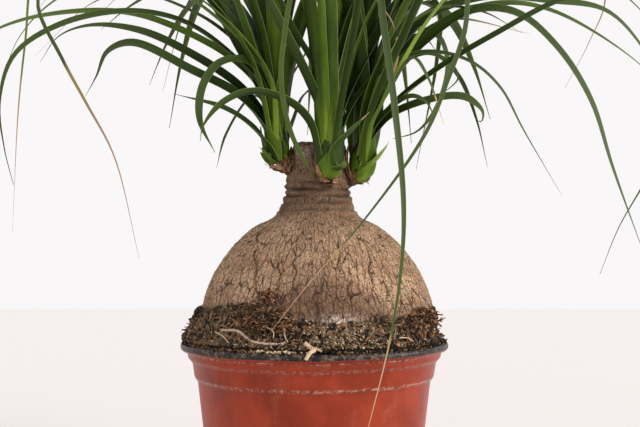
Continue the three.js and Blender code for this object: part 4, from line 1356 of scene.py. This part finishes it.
def add_stem(foliage, name, head):
    """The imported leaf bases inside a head."""
    round_stem = 0.92 * round_head(head, turns(STEM_SIDES))
    rings = [along_head(head, height) + radius * round_stem for height, radius in FEET[name]]
    height = np.array([h for h, _ in FEET[name]], float)[:, None] * np.ones(STEM_SIDES)
    blade = np.stack([np.arange(STEM_SIDES) * 1.7 + 0 * height, height, 0 * height], -1)
    foliage.add(rings, grid_faces(len(rings), STEM_SIDES), blade=blade, across=0.5, along=0,
                green=eased(0.5, 0.3, height / 40), dry=0)


def wrapped_sheet(head, azimuth, half_angle, low, top, radius, flare, thick):
    """A scale that clasps a head's foot: rows from low up to top, a height for each column."""
    columns = len(top)
    u = np.linspace(-1, 1, columns)
    share = np.linspace(0, 1, SHEET_ROWS)[:, None]
    base = low + 0.2 * (top.mean() - low) * u ** 2
    height = base + (top - base) * share
    reach = np.vectorize(radius)(height) + flare * share ** 2
    out = round_head(head, math.radians(azimuth) + math.radians(half_angle) * u)
    outer, inner = (along_head(head, height[..., None]) + out * (reach + off)[..., None]
                    for off in (thick, 0))
    faces = grid_faces(SHEET_ROWS, 2 * columns)
    last = (SHEET_ROWS - 1) * 2 * columns
    for k in range(columns - 1):
        faces.append([last + k, last + k + 1, last + 2 * columns - 2 - k, last + 2 * columns - 1 - k])
    return np.concatenate([outer, inner[:, ::-1]], axis=1), faces


def add_bract(foliage, name, index, azimuth, half_angle, low, edge, tip, flare, green):
    """A short pointed green scale that clasps the foot of a head."""
    u = np.linspace(-1, 1, BRACT_COLUMNS)
    top = edge + (tip - edge) * (1 - np.abs(u)) ** 1.8 - 2.5 * np.abs(u) ** 3
    points, faces = wrapped_sheet(HEADS[name], azimuth, half_angle, low, top,
                                  lambda h: foot_radius(name, h) + 0.3, flare, BRACT_THICKNESS)
    across = np.concatenate([u, u[::-1]]) * np.ones((SHEET_ROWS, 1))
    height = np.linspace(low, tip, SHEET_ROWS)[:, None] + 0 * across
    blade = np.stack([across * 9, height, np.full_like(across, BRACT_SHIFT * index)], -1)
    foliage.add(points, faces, blade=blade, across=across, along=0,
                green=green + eased(0.25, 0, (height - low) / 14), dry=0)


def make_heads():
    material = leaf_material()
    for name, head in HEADS.items():
        foliage = Heap()
        add_stem(foliage, name, head)
        for index, bract in enumerate(BRACTS[name]):
            add_bract(foliage, name, index, *bract)
        for index, leaf in enumerate(SHOWN_LEAVES[name] + back_leaves(name) + young_leaves(name)):
            add_leaf(foliage, name, index, *leaf)
        foliage.make(f"leaves_{name}", material, "leaf", [f"head_{name}"])


# Collars and husks

COLLAR_SEED = 88
COLLAR_SIDES = 80
COLLAR_ROWS = 40

# Papery sheaths: seed, columns, torn points along the edge, and thickness; fibres at each head
HUSK_SEED = 19
PAPER_COLUMNS = 19
PAPER_TEARS = 8
PAPER_THICKNESS = 0.3
FIBRES = 40

# Rings that close a branch's lip: share of its radius and how far each is sunk
LIP_RINGS = ((0.86, 0.4), (0.6, 1.5))


def collar_radius(head, depth):
    """Radius of the short bark branch under a head, at a depth below its lip."""
    size = head["collar"]
    return np.interp(depth, [0, 2.5, 5.5, 9], [size, 0.9 * size, 0.7 * size, 0.6 * size])


def collar_line(head):
    """Places along the bark branch from the trunk up to its lip, and its length."""
    root = np.array(head["root"], float) * (0.7, 0.4, 1) + (0, 0, head["rise"])
    end = along_head(head, head["lip"])
    away = unit((end - root) * (1, 1, 0))
    bend = end - 5 * unit(0.45 * head_axis(head) + 0.55 * away)
    return curve_through([root, bend, end], COLLAR_ROWS)


def make_collars():
    """Short branches of bark that carry the heads."""
    random = np.random.default_rng(COLLAR_SEED)
    bark = bpy.data.materials["corky_bark"]
    turn = turns(COLLAR_SIDES)[:, None]
    for name, head in HEADS.items():
        line, length = collar_line(head)
        rings, sheet, cracks = [], [], []
        sideways = np.cross(line[1] - line[0], (0, 1, 0))
        for k, (centre, _, side, other) in enumerate(swept(line, sideways)):
            depth = length * (1 - k / (COLLAR_ROWS - 1))
            ridge = 0.3 * math.sin(depth * 1.5) + 0.3 * np.sin(5 * turn + 0.2 * depth)
            radius = collar_radius(head, depth) + ridge + random.normal(0, 0.16, turn.shape)
            rings.append(centre + radius * (np.cos(turn) * side + np.sin(turn) * other))
            sheet.append(np.hstack([26 * turn, depth + 0 * turn, 0 * turn]))
            cracks.append(2 * np.clip(np.sin(depth * 1.5 + 2.5 + 0.6 * np.sin(3 * turn)) - 0.6, 0, 0.4))
        lip = rings[-1]
        for share, sink in LIP_RINGS:
            rings.append(line[-1] + (lip - line[-1]) * share - head_axis(head) * sink)
            sheet.append(sheet[-1] * 0.9)
            cracks.append(cracks[-1])
        make_piece(f"collar_{name}", rings, grid_faces(len(rings), COLLAR_SIDES), [bark], "bark",
                   crack=cracks, sheet=sheet, bloom=0, damp=0.6)


# Torn dry sheaths at each foot: direction, half the angle that they go round, heights of the base
# and the torn edge, flare, and tone from dark brown to straw
PAPERS = {
    "left": [(-65, 50, -3, 2, 0.8, 0.8), (-120, 44, -1, 3, 0.8, 0.6), (170, 60, 0, 3.6, 1.0, 0.75),
             (5, 42, -4, 12, 3.6, 0.3), (-12, 34, -7, 6, 5.5, 0.2), (25, 40, -4, 15, 4.4, 0.12),
             (-32, 30, -4, 12, 2.4, 0.35), (90, 70, -3, 3, 1.2, 0.5), (-45, 20, -5, 3, 1.2, 0.55)],
    "centre": [(-160, 30, -6, 6, 1.2, 0.6), (-138, 30, -6, -2, 0.9, 0.4), (-108, 26, -6.4, -4.6, 0.4, 0.7),
               (-52, 22, -6.6, -3.4, 1, 0.4), (-34, 22, -7, -3, 0.8, 0.75), (60, 60, -8, 3, 1.2, 0.4),
               (140, 60, -8, 4, 1.2, 0.3)],
    "right": [(-132, 32, -8, 0, 1.5, 0.6), (-158, 30, -9, 4, 2.4, 0.8), (-112, 24, -8, -3, 1.0, 0.35),
              (172, 36, -5, 13, 3.4, 0.1), (-176, 14, -4, 19, 3.6, 0.45), (-165, 22, -6, 9, 3.2, 0.2),
              (70, 80, -8, 2, 1.4, 0.4)],
}


def add_paper(heap, random, name, azimuth, half_angle, low, high, flare, tone):
    """A torn papery sheath round the foot of a head."""
    u = np.linspace(-1, 1, PAPER_COLUMNS)
    torn = np.interp(u, np.linspace(-1, 1, PAPER_TEARS), random.uniform(0.35, 1, PAPER_TEARS))
    top = low + (high - low) * torn * (1 - 0.5 * u ** 4) + random.normal(0, 0.25, PAPER_COLUMNS)
    points, faces = wrapped_sheet(HEADS[name], azimuth, half_angle, low, top,
                                  lambda h: paper_radius(name, h), flare, PAPER_THICKNESS)
    heap.add(points, faces, tone=tone)


def add_fibre(heap, random, name):
    """A fibre like a hair at the lip of a head's branch."""
    head = HEADS[name]
    azimuth, height = anywhere(random), head["lip"] + random.uniform(-2, 2)
    out = round_head(head, azimuth)
    place = along_head(head, height) + out * paper_radius(name, height)
    drift = random.normal(0, 1, 3)
    route = [place, place + out * 1.2 + drift, place + out * 1.8 + 2 * drift]
    add_thread(heap, route, 0.25, 0.08, random.random(), 4, 6)


def make_husks():
    """Torn papery sheaths and fibres round the foot of each head."""
    random = np.random.default_rng(HUSK_SEED)
    heap = Heap()
    for name in HEADS:
        for paper in PAPERS[name]:
            add_paper(heap, random, name, *paper)
        for _ in range(FIBRES):
            add_fibre(heap, random, name)
    heap.make("papery_husks", husk_material(), "bark")


def paper_radius(name, height):
    head = HEADS[name]
    depth = head["lip"] - height
    return max(collar_radius(head, depth) if depth > 0 else 0, foot_radius(name, height) + 0.5) + 0.3


# Stage, light and camera

# How far the floor reaches, and where it ends behind the plant so that its edge fits the photo's horizon
FLOOR_REACH = 30000
FLOOR_BACK = 2463
FLOOR_COLOUR = (0.697, 0.663, 0.652, 1)

ROOM_COLOUR = (0.95, 0.93, 0.94, 1)

# Wide soft lamps: place, strength and colour
LAMPS = {
    "key": ((1600, -1650, 1150), 1.8, (1, 0.97, 0.93)),
    "side": ((2200, -300, 650), 2.0, (1, 0.97, 0.93)),
    "fill": ((-1700, -1400, 700), 0.45, (1, 0.97, 0.94)),
}

# How wide each lamp looks in degrees, and where it aims
LAMP_SPREAD = 32
LAMP_AIM = (0, 0, 200)

# Nearest and farthest distance that the camera sees, in metres
CAMERA_REACH = (0.05, 200)


def make_stage():
    """A plain floor."""
    s = Shader("studio_floor", 0.9, 0.2)
    s.surface.inputs["Base Color"].default_value = FLOOR_COLOUR
    corners = [(-FLOOR_REACH, -FLOOR_REACH, 0), (FLOOR_REACH, -FLOOR_REACH, 0),
               (FLOOR_REACH, FLOOR_BACK, 0), (-FLOOR_REACH, FLOOR_BACK, 0)]
    mesh = bpy.data.meshes.new("floor")
    mesh.from_pydata([Vector(corner) * MM for corner in corners], [], [(0, 1, 2, 3)])
    mesh.materials.append(s.material)
    floor = place_in_scene("floor", mesh)


def make_room_light():
    """Even light from all around."""
    world = bpy.data.worlds.new("studio")
    bpy.context.scene.world = world
    world.use_nodes = True
    background = world.node_tree.nodes["Background"]
    background.inputs["Color"].default_value = ROOM_COLOUR
    background.inputs["Strength"].default_value = 1.0


def add_lamp(name, place, strength, colour):
    """A lamp that shines from place toward the middle of the plant."""
    lamp = bpy.data.lights.new(name, "SUN")
    lamp.angle = math.radians(LAMP_SPREAD)
    lamp.energy = strength
    lamp.color = colour
    holder = place_in_scene(name, lamp, place)
    holder.rotation_mode = "QUATERNION"
    holder.rotation_quaternion = (Vector(LAMP_AIM) - Vector(place)).to_track_quat("-Z", "Y")


def make_camera():
    camera = bpy.data.cameras.new("photo_camera")
    camera.sensor_width = SENSOR_WIDTH
    camera.lens = FOCAL_PIXELS * SENSOR_WIDTH / PHOTO_WIDTH
    camera.clip_start, camera.clip_end = CAMERA_REACH
    holder = place_in_scene("photo_camera", camera, CAMERA_PLACE)
    holder.rotation_euler = (math.pi / 2, 0, 0)
    bpy.context.scene.camera = holder


make_camera()
make_room_light()
for lamp_name, lamp in LAMPS.items():
    add_lamp(lamp_name, *lamp)
make_stage()
make_pot()
make_soil()
make_trunk()
make_collars()
make_husks()
make_scatter()
make_twig()
make_chip()
make_heads()
bpy.context.scene.view_settings.view_transform = "Standard"
bpy.context.view_layer.update()
